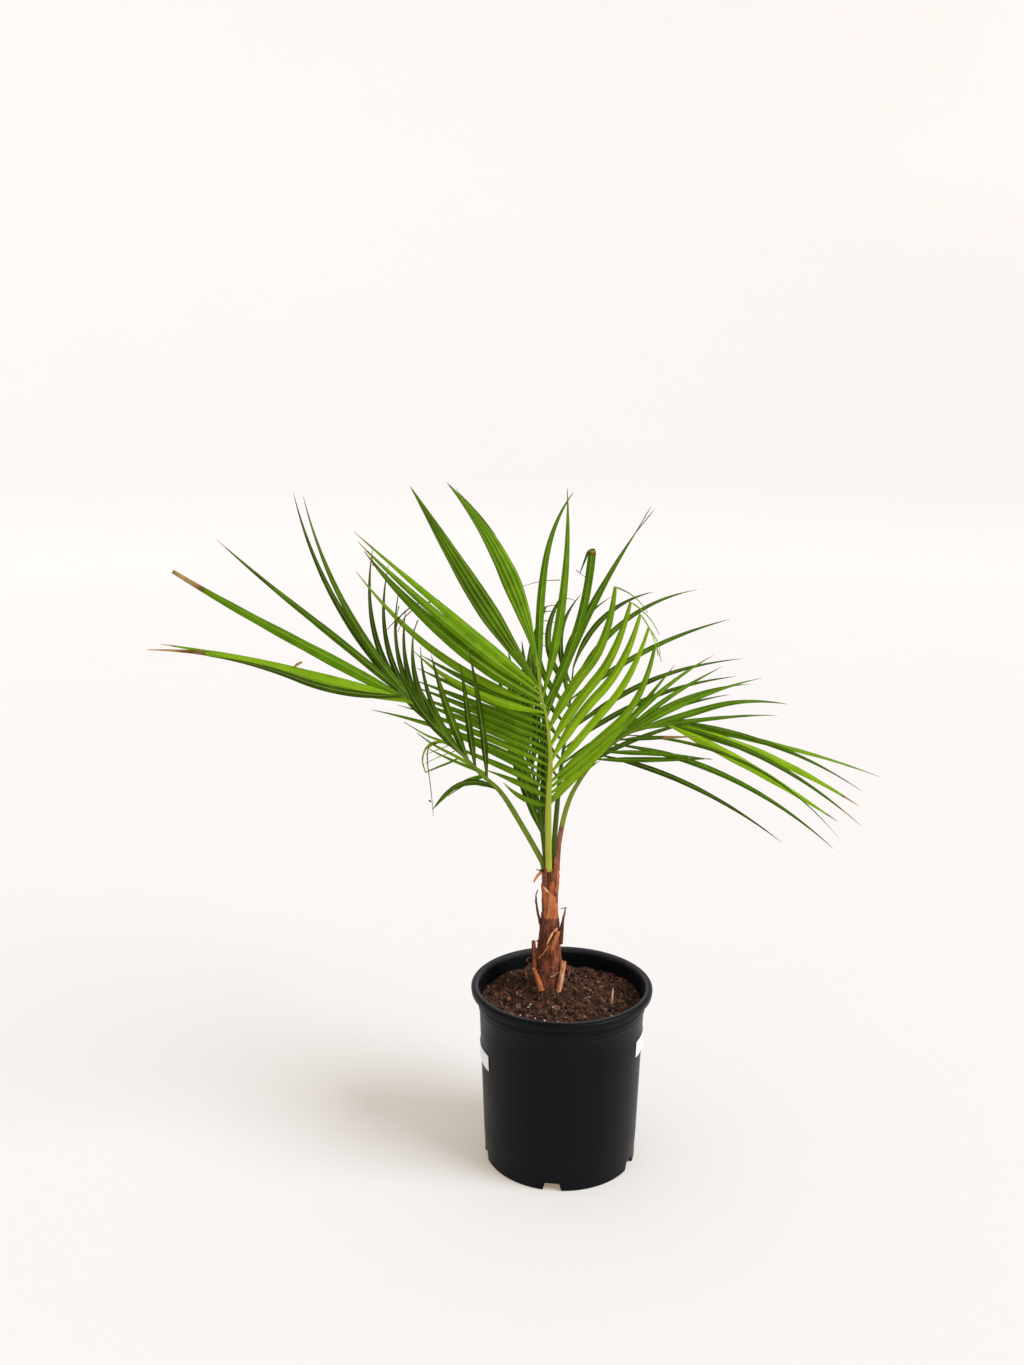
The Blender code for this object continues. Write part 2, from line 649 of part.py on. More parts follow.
def main():
    clear_scene()
    home = collection(OBJECT)
    cutters = collection("cutters")
    made = [make_pot(home, cutters), make_soil(home, cutters), make_stem(home)]
    made += [make_label(name, home) for name in LABELS]
    made += [frond(name, spec, home) for name, spec in FRONDS.items()]
    for obj in made:
        finish(obj)


main()
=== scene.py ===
import math
import random

import bmesh
import bpy
from mathutils import Matrix, Vector, noise


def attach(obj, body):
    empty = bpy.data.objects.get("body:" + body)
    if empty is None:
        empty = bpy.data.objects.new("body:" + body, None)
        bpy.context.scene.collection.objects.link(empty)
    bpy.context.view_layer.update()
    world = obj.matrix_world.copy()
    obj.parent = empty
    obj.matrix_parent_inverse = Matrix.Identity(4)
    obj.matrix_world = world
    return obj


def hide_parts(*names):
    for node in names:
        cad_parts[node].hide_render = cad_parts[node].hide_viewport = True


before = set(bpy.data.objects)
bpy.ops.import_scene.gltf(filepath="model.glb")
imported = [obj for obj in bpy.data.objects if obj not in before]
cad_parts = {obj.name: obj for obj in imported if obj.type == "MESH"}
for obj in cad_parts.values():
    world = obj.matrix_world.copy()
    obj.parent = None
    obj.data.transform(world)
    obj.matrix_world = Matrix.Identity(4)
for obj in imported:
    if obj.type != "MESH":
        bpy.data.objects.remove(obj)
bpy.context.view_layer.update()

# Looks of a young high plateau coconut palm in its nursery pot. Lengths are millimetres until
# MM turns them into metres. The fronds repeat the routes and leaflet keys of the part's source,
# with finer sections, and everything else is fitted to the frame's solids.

MM = 0.001

# Camera: fitted to the pot in the photograph, whose frame is 1024 by 1365 pixels.
PHOTO_W = 1024
PHOTO_H = 1365
FOCAL_PX = 1350
SENSOR = 36.0
CAMERA_AT = Vector((-0.0472, -1.1531, 0.7148))
CAMERA_PITCH = 12.78
CAMERA_ROLL = 0.28

# Pot, as in the part's source.
POT_H = 169.5
RIM_R = 83.5
RIM_BAND = 7.0
RIM_LIP = 6.5
BODY_TOP_R = 75.8
BASE_R = 70.5
STEP_Z = 148.0
NECK_R = 76.8
WALL = 1.8
FLOOR_T = 2.2
DISH_R = 52.0
CHANNEL_R = 66.5
CHANNEL_Z = 8.0
NOTCHES = 5
NOTCH_TURN = -97.5
NOTCH_FOOT_W = 18.0
NOTCH_TOP_W = 12.0
NOTCH_H = 7.4
FOOT_RINGS = (17.0, 25.0)      # heights of two faint steps above the foot
RING_STEP = 0.14
LIP_HIGHLIGHT = 0.8                 # how far the lip's inner edge is painted pale: a painted highlight

# Soil and stem, as in the part's source.
SOIL_EDGE_Z = 152.0
SOIL_RISE = 6.0
STEM_X = -11.5
STEM_Y = 15.0
STEM_TOP_Z = 275.6
GAP = 0.3
STEM_PROFILE = [
    (150, 14.2), (158, 14.2), (166, 14.4), (176, 13.8), (186, 12.6), (196, 11.2), (206, 10.2),
    (218, 9.2), (232, 8.3), (250, 7.7), (264, 7.9), (STEM_TOP_Z, 8.6),
]

# Leaflets.
LEAF_RINGS = 30
LEAF_T = 0.42
LEAF_FOLD = 0.21               # a little sharper than the solid's, which the light shows
STALK_SIDES = 14
STALK_TAPER = ((0.0, 1.14), (0.3, 1.06), (0.55, 0.78), (1.0, 0.70))   # radius over the solid's

# A stalk's route, radii and face are those of the part's source, and so are the first two items
# of each row: a count, and keys of (share of the stalk, length, lean, depth, bend, droop,
# width). The third says how the row's leaflets look:
#   brown: share of the length where the dry tip starts
#   tail: a thin end that is folded over, as its length, lean where it starts and lean at its end
#   pleats: folds of a wide blade, tint: 0 dark to 1 bright, the leaflet's green with painted shade and
#   painted light set leaflet by leaflet, split: length of a forked end
#   cut: width of a blunt end as a share of the blade's, sliver: how far a torn edge stops short
FRONDS = {
    "frond_front": {
        "route": [(-13, 9, 276), (-14, 2, 342), (-13, -6, 387), (-17, -14, 426),
                  (-22, -19, 447), (-27, -30, 485)],
        "radii": (2.7, 2.5, 0.9),
        "face": (0, -1, 0.25),
        "rows": [
            (12, [
                (0.30, 44, -68, 14, -0.10, 0.00, 5.5),
                (0.335, 60, -71, 18, 0.02, 0.00, 6.0),
                (0.375, 100, -68, 20, 0.02, 0.00, 6.0),
                (0.41, 140, -66, 20, 0.02, 0.02, 6.0),
                (0.445, 170, -71, 22, 0.03, 0.01, 6.0),
                (0.50, 136, -69, 20, 0.02, 0.00, 6.5),
                (0.63, 126, -69, 15, 0.01, 0.00, 7.0),
                (0.70, 122, -64, 8, -0.01, 0.00, 7.0),
            ], {"brown": 0.975, "tint": 0.50}),
            (1, [(0.73, 127, -63, -16, -0.08, 0.00, 7.0)], {"tint": 0.66}),
            (1, [(0.757, 199, -53, -20, -0.08, 0.00, 7.0)], {"tint": 0.70, "brown": 0.97}),
            (1, [(0.782, 200, -47, -48, -0.055, 0.00, 12.0)], {"tint": 0.42, "brown": 0.93}),
            (1, [(0.815, 203, -47, -58, -0.025, 0.00, 8.5)], {"tint": 0.46, "brown": 0.93}),
            (1, [(0.84, 207, -47.2, -52, -0.005, 0.00, 8.0)], {"tint": 0.50, "brown": 0.90}),
            (1, [(0.84, 206, -31.4, -40, -0.008, 0.00, 17.0)],
             {"tint": 0.40, "brown": 0.985, "pleats": 4}),
            (1, [(0.95, 173, -25.5, -25, 0.065, 0.00, 16.0)],
             {"tint": 0.48, "brown": 0.965, "pleats": 4, "sliver": 9}),
            (4, [
                (0.30, 62, 46, -6, -0.04, 0.00, 5.5),
                (0.345, 98, 43, -8, 0.05, 0.00, 6.0),
                (0.378, 122, 46, -10, 0.01, -0.075, 6.5),
            ], {"tint": 0.72, "brown": 0.97}),
            (1, [(0.405, 146, 46, -12, 0.00, -0.18, 7.0)], {"tint": 0.60, "tail": (16, 150, 165)}),
            (1, [(0.446, 149, 39, -14, -0.012, -0.13, 7.0)], {"tint": 0.86, "tail": (26, 135, 172)}),
            (1, [(0.50, 142, 39.5, -16, -0.065, -0.19, 8.0)], {"tint": 0.84, "tail": (40, 140, 170)}),
            (1, [(0.57, 135, 37, -18, -0.055, -0.18, 8.0)], {"tint": 0.80, "tail": (38, 118, 155)}),
            (1, [(0.647, 124, 35, -20, -0.058, -0.23, 8.5)], {"tint": 0.70, "tail": (36, 104, 148)}),
            (1, [(0.71, 184, 24.5, -14, -0.04, 0.00, 8.5)],
             {"tint": 0.38, "brown": 0.97, "split": 0.10}),
            (1, [(0.757, 143, 16, -10, 0.05, 0.00, 7.5)], {"tint": 0.40, "cut": 0.9}),
            (1, [(0.797, 182, 6, -8, 0.04, 0.00, 7.5)], {"tint": 0.42, "brown": 0.985}),
            (1, [(0.84, 184, 5.5, 4, -0.042, 0.08, 7.0)], {"tint": 0.50, "brown": 0.985}),
        ],
    },
    "frond_left": {
        "route": [(-18.5, 13, 276), (-40.5, 2, 326), (-57, -12, 357), (-74, -24, 377),
                  (-96, -42, 407), (-124, -60, 446), (-142, -69, 461)],
        "radii": (2.3, 2.2, 1.2),
        "face": (-0.2, -0.8, 0.6),
        "rows": [
            (6, [
                (0.58, 108, -25, 32, -0.10, 0.00, 5.0),
                (0.62, 118, -23, 34, -0.15, 0.00, 7.0),
                (0.70, 149, -19, 36, -0.16, 0.00, 5.0),
                (0.75, 165, -21, 36, -0.16, 0.00, 6.0),
            ], {"tint": 0.26, "brown": 0.97}),
            (1, [(0.78, 223, -31, 36, -0.075, 0.00, 6.5)], {"tint": 0.34}),
            (1, [(0.81, 223, -33, 54, -0.082, 0.00, 6.0)], {"tint": 0.22}),
            (1, [(0.865, 223, -50.5, 16, 0.00, 0.00, 6.5)], {"tint": 0.24, "brown": 0.95}),
            (1, [(0.90, 228, -60.5, -4, -0.008, 0.00, 10.0)],
             {"tint": 0.44, "brown": 0.88, "cut": 0.35}),
            (1, [(0.40, 58, -101, -20, 0.26, 0.00, 6.0)], {"tint": 0.28}),
            (1, [(0.475, 123, -7, -24, 0.02, 0.00, 6.0)], {"tint": 0.16}),
            (1, [(0.546, 99, -7, -24, 0.00, 0.00, 6.0)], {"tint": 0.12}),
            (1, [(0.593, 103, -17, -24, -0.02, 0.00, 7.0)], {"tint": 0.14}),
            (2, [
                (0.64, 84, -26, -30, -0.05, 0.00, 6.0),
                (0.71, 80, -30, -34, -0.06, 0.00, 6.0),
            ], {"tint": 0.16}),
            (1, [(0.93, 205, -74.5, -36, 0.012, 0.00, 8.5)], {"tint": 0.72, "brown": 0.95}),
            (1, [(0.965, 151, -64, -62, -0.11, 0.14, 6.0)], {"tint": 0.05, "brown": 0.99}),
            (1, [(0.92, 208, -69, -50, -0.03, 0.10, 9.5)], {"tint": 0.78, "brown": 0.80}),
        ],
    },
    "frond_right": {
        "route": [(-5, 14, 276), (-3, 17, 304), (3, 20, 332), (13, 24, 354), (33, 30, 379),
                  (61, 36, 399), (94, 41, 408), (116, 44, 409)],
        "radii": (2.3, 2.0, 1.2),
        "face": (0.2, -0.8, 0.6),
        "rows": [
            (7, [
                (0.57, 100, 45, 52, 0.00, 0.00, 5.0),
                (0.60, 128, 54, 56, -0.06, 0.00, 5.0),
                (0.63, 123, 59, 52, -0.04, 0.00, 5.0),
                (0.66, 135, 71, 44, -0.09, 0.00, 5.0),
                (0.69, 139, 70.3, 40, -0.05, 0.00, 5.5),
                (0.72, 145, 76, 20, -0.02, 0.08, 6.5),
                (0.75, 131, 85, 8, -0.03, 0.00, 5.0),
            ], {"tint": 0.32, "brown": 0.95}),
            (1, [(0.89, 209, 105, 10, -0.02, 0.00, 6.0)], {"tint": 0.62, "brown": 0.96}),
            (1, [(0.93, 184, 110, -10, -0.055, 0.00, 5.0)], {"tint": 0.16, "brown": 0.96}),
            (1, [(0.86, 192, 111, -28, -0.05, 0.00, 10.0)], {"tint": 0.82, "brown": 0.90}),
            (1, [(0.87, 194, 115, -46, -0.07, 0.00, 5.0)], {"tint": 0.12, "brown": 0.88}),
            (1, [(0.88, 167, 116.5, -58, -0.02, 0.00, 9.5)], {"tint": 0.88, "brown": 0.93}),
            (1, [(0.53, 98, 80, -54, 0.01, 0.00, 5.0)], {"tint": 0.40, "brown": 0.93}),
            (1, [(0.575, 91, 83, -62, -0.02, 0.00, 5.0)], {"tint": 0.36, "brown": 0.90}),
            (1, [(0.555, 159, 109, -88, -0.07, 0.00, 5.0)], {"tint": 0.05}),
            (1, [(0.66, 68, 77, -44, -0.01, 0.00, 4.0)], {"tint": 0.20, "brown": 0.55}),
            (1, [(0.63, 200, 111, -78, -0.09, 0.00, 5.5)], {"tint": 0.08, "brown": 0.97}),
            (1, [(0.70, 198, 112, -66, -0.12, 0.00, 4.0)], {"tint": 0.08, "brown": 0.90}),
        ],
    },
    "frond_back": {
        "route": [(-8.5, 20.4, 276), (-6, 34, 316), (-1, 54, 362), (6, 78, 404), (11, 98, 448)],
        "radii": (2.3, 2.1, 0.9),
        "face": (0, -0.8, 0.6),
        "rows": [
            (4, [
                (0.42, 166, 74, 60, -0.06, 0.00, 5.0),
                (0.65, 182, 70, 60, -0.08, 0.00, 5.5),
            ], {"tint": 0.18, "brown": 0.96}),
            (1, [(0.825, 171, 67, 66, -0.05, 0.00, 5.5)], {"tint": 0.22, "brown": 0.96}),
            (1, [(0.873, 152, 55, 60, -0.134, 0.00, 5.5)], {"tint": 0.12, "brown": 0.88}),
            (1, [(0.99, 102, 51.5, 56, -0.15, 0.00, 5.5)], {"tint": 0.16}),
            (1, [(0.80, 105, 23, 44, -0.20, 0.00, 5.5)], {"tint": 0.18}),
            (1, [(0.90, 81, 7, 40, -0.19, 0.00, 5.5)], {"tint": 0.20}),
            (6, [
                (0.42, 116, -12, 66, -0.16, 0.00, 6.0),
                (0.74, 98, -13, 56, -0.20, 0.00, 6.0),
                (0.80, 86, -15, 56, -0.20, 0.00, 6.0),
                (0.88, 79, -8, 40, -0.21, 0.00, 6.0),
            ], {"tint": 0.18, "tail": (16, 60, 120)}),
        ],
    },
    "frond_young": {
        "route": [(-15.5, 20.4, 276), (-20, 27, 318), (-28, 35, 364), (-36, 43, 414)],
        "radii": (2.3, 1.9, 0.8),
        "face": (0.1, -1, 0.2),
        "rows": [
            (6, [
                (0.20, 100, -22, 10, 0.00, 0.00, 7.0),
                (0.50, 108, -24, 14, -0.02, 0.00, 7.5),
                (0.95, 66, -14, 12, -0.02, 0.00, 7.0),
            ], {"tint": 0.15}),
            (6, [
                (0.17, 92, 0, 12, 0.02, 0.00, 6.5),
                (0.48, 106, 4, 14, 0.03, 0.00, 7.0),
                (0.97, 70, -2, 12, 0.02, 0.00, 7.0),
            ], {"tint": 0.15}),
        ],
    },
}


def smooth(value):
    value = min(1.0, max(0.0, value))
    return value * value * (3 - 2 * value)


def blend(value, keys, column):
    """The column's value at a key value, straight between the keys."""
    if value <= keys[0][0]:
        return keys[0][column]
    for low, high in zip(keys, keys[1:]):
        if value <= high[0]:
            t = (value - low[0]) / (high[0] - low[0])
            return low[column] + t * (high[column] - low[column])
    return keys[-1][column]


def smooth_route(points, spacing):
    """Points about spacing apart on a Catmull-Rom curve through the given ones."""
    pts = [Vector(p) for p in points]
    ends = [2 * pts[0] - pts[1]] + pts + [2 * pts[-1] - pts[-2]]
    out = []
    for a, b, c, d in zip(ends, ends[1:], ends[2:], ends[3:]):
        steps = max(1, round((c - b).length / spacing))
        for i in range(steps):
            t = i / steps
            out.append(0.5 * ((2 * b) + (c - a) * t + (2 * a - 5 * b + 4 * c - d) * t * t
                              + (3 * b - a - 3 * c + d) * t ** 3))
    out.append(pts[-1])
    return out


def shares(points):
    """How far along the line each point lies, from 0 to 1."""
    run = [0.0]
    for a, b in zip(points, points[1:]):
        run.append(run[-1] + (b - a).length)
    return [r / run[-1] for r in run]


def line_point(line, along, share):
    """The point at a share of the line's length."""
    for k in range(len(line) - 1):
        if share <= along[k + 1]:
            t = (share - along[k]) / (along[k + 1] - along[k])
            return line[k].lerp(line[k + 1], t)
    return line[-1].copy()


def camera_turn():
    pitch = Matrix.Rotation(math.radians(90 - CAMERA_PITCH), 3, "X")
    return pitch @ Matrix.Rotation(math.radians(CAMERA_ROLL), 3, "Z")


def in_photo(x, y, depth):
    """The point that shows at a place in the photograph and lies at a depth (its Y)."""
    ray = camera_turn() @ Vector(((x - PHOTO_W / 2) / FOCAL_PX, (PHOTO_H / 2 - y) / FOCAL_PX, -1))
    start = CAMERA_AT / MM
    return start + ray * ((depth - start.y) / ray.y)


def photo_route(spots, start_depth, end_depth=None):
    """Points at places in the photograph, from one depth to another."""
    end_depth = start_depth if end_depth is None else end_depth
    last = max(1, len(spots) - 1)
    return [in_photo(x, y, start_depth + (end_depth - start_depth) * i / last)
            for i, (x, y) in enumerate(spots)]


def heading(points, i):
    return (points[min(i + 1, len(points) - 1)] - points[max(i - 1, 0)]).normalized()


class Shell:
    """Points, faces and paint of one piece. Each point has two paint vectors:
    leaf (millimetres across, share along, tint) and state (rib, dryness, underside)."""

    def __init__(self, name):
        self.name = name
        self.points = []
        self.faces = []
        self.leaf = []
        self.state = []

    def point(self, place, leaf=(0, 0, 0), state=(0, 0, 0)):
        self.points.append(tuple(Vector(place) * MM))
        self.leaf.append(leaf)
        self.state.append(state)
        return len(self.points) - 1

    def loft(self, rings, closed=True):
        """Quads between rings of points, with both ends capped where the rings are closed."""
        count = len(rings[0])
        for a, b in zip(rings, rings[1:]):
            for k in range(count if closed else count - 1):
                n = (k + 1) % count
                self.faces.append((a[k], a[n], b[n], b[k]))
        if closed:
            self.faces.append(tuple(reversed(rings[0])))
            self.faces.append(tuple(rings[-1]))

    def make(self, material, replaced=(), angle=32):
        """The piece as an object that rides on the plant's one body."""
        mesh = bpy.data.meshes.new(self.name)
        mesh.from_pydata(self.points, [], self.faces)
        for name, values in (("leaf", self.leaf), ("state", self.state)):
            held = mesh.attributes.new(name, "FLOAT_VECTOR", "POINT")
            held.data.foreach_set("vector", [x for v in values for x in v])
        bm = bmesh.new()
        bm.from_mesh(mesh)
        bmesh.ops.recalc_face_normals(bm, faces=bm.faces)
        bm.to_mesh(mesh)
        bm.free()
        mesh.materials.append(material)
        mesh.shade_smooth()
        mesh.set_sharp_from_angle(angle=math.radians(angle))
        piece = bpy.data.objects.new(self.name, mesh)
        bpy.context.scene.collection.objects.link(piece)
        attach(piece, "root")
        if replaced:
            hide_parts(*replaced)
        return piece


# Materials

def node(tree, kind, settings=None, **values):
    """A shader node with its settings, and each input set to a value or linked to a socket."""
    made = tree.nodes.new("ShaderNode" + kind)
    for name, value in (settings or {}).items():
        setattr(made, name, value)
    for name, value in values.items():
        socket = made.inputs[name.replace("_", " ")]
        if isinstance(value, bpy.types.NodeSocket):
            tree.links.new(value, socket)
        else:
            socket.default_value = value
    return made


def plug(tree, socket, value):
    if isinstance(value, bpy.types.NodeSocket):
        tree.links.new(value, socket)
    else:
        socket.default_value = value


def mix(tree, share, a, b, how="MIX"):
    made = node(tree, "Mix", {"data_type": "RGBA", "blend_type": how})
    plug(tree, made.inputs[0], share)
    for socket, value in ((made.inputs[6], a), (made.inputs[7], b)):
        plug(tree, socket, value if isinstance(value, bpy.types.NodeSocket) else (*value, 1.0))
    return made.outputs[2]


def maths(tree, how, a, b=0.0, clamp=False):
    made = node(tree, "Math", {"operation": how, "use_clamp": clamp})
    plug(tree, made.inputs[0], a)
    plug(tree, made.inputs[1], b)
    return made.outputs[0]


def ramp(tree, value, stops):
    """A colour ramp of (position, colour or grey) stops."""
    made = node(tree, "ValToRGB")
    plug(tree, made.inputs[0], value)
    bar = made.color_ramp.elements
    while len(bar) < len(stops):
        bar.new(0.5)
    for element, (position, colour) in zip(bar, stops):
        element.position = position
        colour = colour if isinstance(colour, tuple) else (colour,) * 3
        element.color = (*colour, 1.0)
    return made.outputs[0]


def spread(tree, value, low, high, new_low=0.0, new_high=1.0):
    made = node(tree, "MapRange", {"clamp": True})
    for socket, number in zip(made.inputs, (value, low, high, new_low, new_high)):
        plug(tree, socket, number)
    return made.outputs[0]


def places(tree, scale=(1, 1, 1)):
    """The piece's own coordinates, stretched."""
    coordinates = node(tree, "TexCoord").outputs["Object"]
    return node(tree, "Mapping", None, Vector=coordinates, Scale=scale).outputs[0]


def speckle(tree, vector, scale, detail=3.0, roughness=0.6):
    return node(tree, "TexNoise", None, Vector=vector, Scale=scale, Detail=detail,
                Roughness=roughness).outputs[0]


def attribute(tree, name):
    """The three parts of a paint vector."""
    held = node(tree, "Attribute", {"attribute_name": name}).outputs["Vector"]
    return node(tree, "SeparateXYZ", None, Vector=held).outputs


def new_material(name, roughness=0.5, specular=0.5):
    made = bpy.data.materials.new(name)
    made.use_nodes = True
    tree = made.node_tree
    shader = tree.nodes["Principled BSDF"]
    shader.inputs["Roughness"].default_value = roughness
    shader.inputs["Specular IOR Level"].default_value = specular
    return made, tree, shader


def bump(tree, shader, height, distance, strength=1.0):
    made = node(tree, "Bump", None, Height=height, Distance=distance, Strength=strength)
    tree.links.new(made.outputs[0], shader.inputs["Normal"])


LEAF_DEEP = (0.0065, 0.024, 0.0010)
LEAF_MID = (0.076, 0.185, 0.0022)
LEAF_BRIGHT = (0.260, 0.440, 0.0070)
LEAF_RIB = (0.430, 0.520, 0.090)
LEAF_UNDER = (0.105, 0.190, 0.018)
LEAF_EDGE = (0.050, 0.040, 0.008)
DRY_EDGE = (0.110, 0.060, 0.014)
DRY_TIP = (0.380, 0.240, 0.090)
VEIN_PITCH = 0.70
LEAF_SPECULAR = 0.04
GLOW = 0.11                    # share of light that shines through a blade


def leaf_material():
    """Tint picks the green, and holds painted shade and painted light as well, set leaflet by leaflet.
    Rib is 1 on a pale rib, and -1 on the thin dark margin.
    """
    made, tree, shader = new_material("leaf", specular=LEAF_SPECULAR)
    across, along, tint = attribute(tree, "leaf")
    rib, dry, under = attribute(tree, "state")
    cloud = speckle(tree, places(tree), 55, 4)
    fine = speckle(tree, places(tree), 420, 3)
    shade = maths(tree, "ADD", tint, spread(tree, cloud, 0.3, 0.7, -0.13, 0.13))
    green = ramp(tree, shade, [(0.0, LEAF_DEEP), (0.42, LEAF_MID), (1.0, LEAF_BRIGHT)])
    wave = maths(tree, "SINE", maths(tree, "MULTIPLY", across, 2 * math.pi / VEIN_PITCH))
    veins = spread(tree, wave, -1, 1)
    green = mix(tree, maths(tree, "MULTIPLY", veins, 0.16), green, LEAF_BRIGHT)
    green = mix(tree, maths(tree, "MULTIPLY", under, 0.40), green, LEAF_UNDER)
    green = mix(tree, maths(tree, "MULTIPLY", spread(tree, rib, 0, 1), 0.60), green, LEAF_RIB)
    green = mix(tree, maths(tree, "MULTIPLY", spread(tree, rib, 0, -1), 0.75), green, LEAF_EDGE)
    ragged = maths(tree, "ADD", dry, spread(tree, fine, 0.3, 0.7, -0.22, 0.22))
    brown = ramp(tree, spread(tree, cloud, 0.3, 0.7), [(0.0, DRY_EDGE), (0.6, DRY_TIP)])
    green = mix(tree, spread(tree, ragged, 0.12, 0.42), green, DRY_EDGE)
    colour = mix(tree, spread(tree, ragged, 0.45, 0.75), green, brown)
    tree.links.new(colour, shader.inputs["Base Color"])
    dull = maths(tree, "ADD", spread(tree, fine, 0.3, 0.7, 0.34, 0.48),
                 maths(tree, "MULTIPLY", dry, 0.35))
    tree.links.new(dull, shader.inputs["Roughness"])
    relief = maths(tree, "ADD", maths(tree, "MULTIPLY", veins, 0.6), fine)
    bump(tree, shader, relief, 0.00009)
    glow = node(tree, "BsdfTranslucent", None, Color=mix(tree, 0.3, colour, LEAF_BRIGHT))
    both = node(tree, "MixShader")
    both.inputs[0].default_value = GLOW
    tree.links.new(shader.outputs[0], both.inputs[1])
    tree.links.new(glow.outputs[0], both.inputs[2])
    tree.links.new(both.outputs[0], tree.nodes["Material Output"].inputs["Surface"])
    return made


def stalk_material():
    """Yellow-green stalks with fine streaks along them, brown where state says so."""
    made, tree, shader = new_material("stalk", specular=0.2)
    across, along, tint = attribute(tree, "leaf")
    rib, dry, under = attribute(tree, "state")
    streak = speckle(tree, places(tree, (900, 900, 60)), 1, 3)
    cloud = speckle(tree, places(tree), 90, 3)
    shade = maths(tree, "ADD", tint, spread(tree, streak, 0.3, 0.7, -0.10, 0.10))
    green = ramp(tree, shade, [(0.0, (0.020, 0.032, 0.004)), (0.4, (0.085, 0.135, 0.004)),
                               (0.7, (0.260, 0.320, 0.020)), (1.0, (0.460, 0.450, 0.060))])
    rust = ramp(tree, streak, [(0.3, (0.085, 0.028, 0.014)), (0.55, (0.210, 0.075, 0.040)),
                               (0.75, (0.360, 0.200, 0.110))])
    brown = maths(tree, "ADD", dry, spread(tree, cloud, 0.3, 0.7, -0.12, 0.12))
    colour = mix(tree, spread(tree, brown, 0.3, 0.7), green, rust)
    tree.links.new(colour, shader.inputs["Base Color"])
    tree.links.new(spread(tree, streak, 0.3, 0.7, 0.34, 0.55), shader.inputs["Roughness"])
    bump(tree, shader, streak, 0.00015)
    return made


def pot_material():
    """Near-black moulded plastic with a satin skin, pale scuffs, a little dust and a painted highlight
    along the lip's inner edge.
    """
    made, tree, shader = new_material("pot_plastic", specular=0.10)
    shader.inputs["Sheen Weight"].default_value = 0.022
    shader.inputs["Sheen Roughness"].default_value = 0.32
    lip_highlight = attribute(tree, "leaf")[2]
    flow = speckle(tree, places(tree, (30, 30, 12)), 1, 4)
    grain = speckle(tree, places(tree), 1400, 2)
    scratch = speckle(tree, places(tree, (260, 260, 34)), 1, 5, 0.7)
    patch = speckle(tree, places(tree), 16, 3)
    scuffs = maths(tree, "MULTIPLY", spread(tree, scratch, 0.62, 0.74),
                   spread(tree, patch, 0.50, 0.68))
    colour = ramp(tree, flow, [(0.25, (0.0010, 0.0014, 0.0028)), (0.75, (0.0024, 0.0030, 0.0048))])
    colour = mix(tree, maths(tree, "MULTIPLY", scuffs, 0.40), colour, (0.030, 0.031, 0.036))
    # the painted highlight along the lip's inner edge
    colour = mix(tree, lip_highlight, colour, (0.040, 0.040, 0.046))
    tree.links.new(colour, shader.inputs["Base Color"])
    skin = maths(tree, "ADD", spread(tree, flow, 0.3, 0.7, 0.34, 0.45),
                 maths(tree, "MULTIPLY", scuffs, 0.2))
    tree.links.new(skin, shader.inputs["Roughness"])
    relief = maths(tree, "ADD", maths(tree, "MULTIPLY", flow, 1.5), grain)
    bump(tree, shader, relief, 0.00006)
    return made


def soil_material():
    """Dark peat: reddish brown and black grains, with a paler tint on single crumbs."""
    made, tree, shader = new_material("peat", roughness=0.95, specular=0.2)
    tint = attribute(tree, "leaf")[2]
    grain = speckle(tree, places(tree), 900, 4, 0.7)
    clod = speckle(tree, places(tree), 130, 3)
    shade = maths(tree, "ADD", tint, spread(tree, grain, 0.3, 0.7, -0.42, 0.42))
    colour = ramp(tree, shade, [(0.0, (0.006, 0.0030, 0.0018)), (0.45, (0.058, 0.027, 0.015)),
                                (0.75, (0.165, 0.072, 0.037)), (1.0, (0.34, 0.185, 0.120))])
    colour = mix(tree, spread(tree, clod, 0.35, 0.65, 0.5, 0.0), colour, (0.010, 0.006, 0.0045))
    tree.links.new(colour, shader.inputs["Base Color"])
    bump(tree, shader, grain, 0.0006)
    return made


def bark_material():
    """Sheath and fibre: tint runs from dark fibre through rust to pale straw."""
    made, tree, shader = new_material("sheath", roughness=0.8, specular=0.25)
    tint = attribute(tree, "leaf")[2]
    fibre = speckle(tree, places(tree, (700, 700, 45)), 1, 5, 0.65)
    cloud = speckle(tree, places(tree), 120, 4)
    shade = maths(tree, "ADD", tint, spread(tree, fibre, 0.3, 0.7, -0.24, 0.24))
    shade = maths(tree, "ADD", shade, spread(tree, cloud, 0.3, 0.7, -0.14, 0.14))
    colour = ramp(tree, shade, [(0.0, (0.018, 0.007, 0.005)), (0.30, (0.105, 0.030, 0.017)),
                                (0.60, (0.340, 0.098, 0.032)), (0.80, (0.560, 0.190, 0.062)),
                                (1.0, (0.700, 0.460, 0.280))])
    tree.links.new(colour, shader.inputs["Base Color"])
    tree.links.new(spread(tree, fibre, 0.3, 0.7, 0.62, 0.9), shader.inputs["Roughness"])
    bump(tree, shader, fibre, 0.0007)
    return made


def pale_material(name, low, high, scale, depth):
    """A pale rough thing, such as perlite or bare sticker paper."""
    made, tree, shader = new_material(name, roughness=0.75, specular=0.3)
    grain = speckle(tree, places(tree), scale, 4)
    colour = ramp(tree, grain, [(0.3, low), (0.7, high)])
    tree.links.new(colour, shader.inputs["Base Color"])
    tree.links.new(spread(tree, grain, 0.3, 0.7, 0.5, 0.75), shader.inputs["Roughness"])
    bump(tree, shader, grain, depth)
    return made


# Pot

def notch_lift(turn):
    """How far the foot is cut away at a bearing in degrees."""
    spacing = 360 / NOTCHES
    off = abs((turn - NOTCH_TURN + spacing / 2) % spacing - spacing / 2)
    across = math.radians(off) * BASE_R
    side = (NOTCH_FOOT_W - NOTCH_TOP_W) / 2
    return NOTCH_H * smooth((NOTCH_FOOT_W / 2 - across) / side)


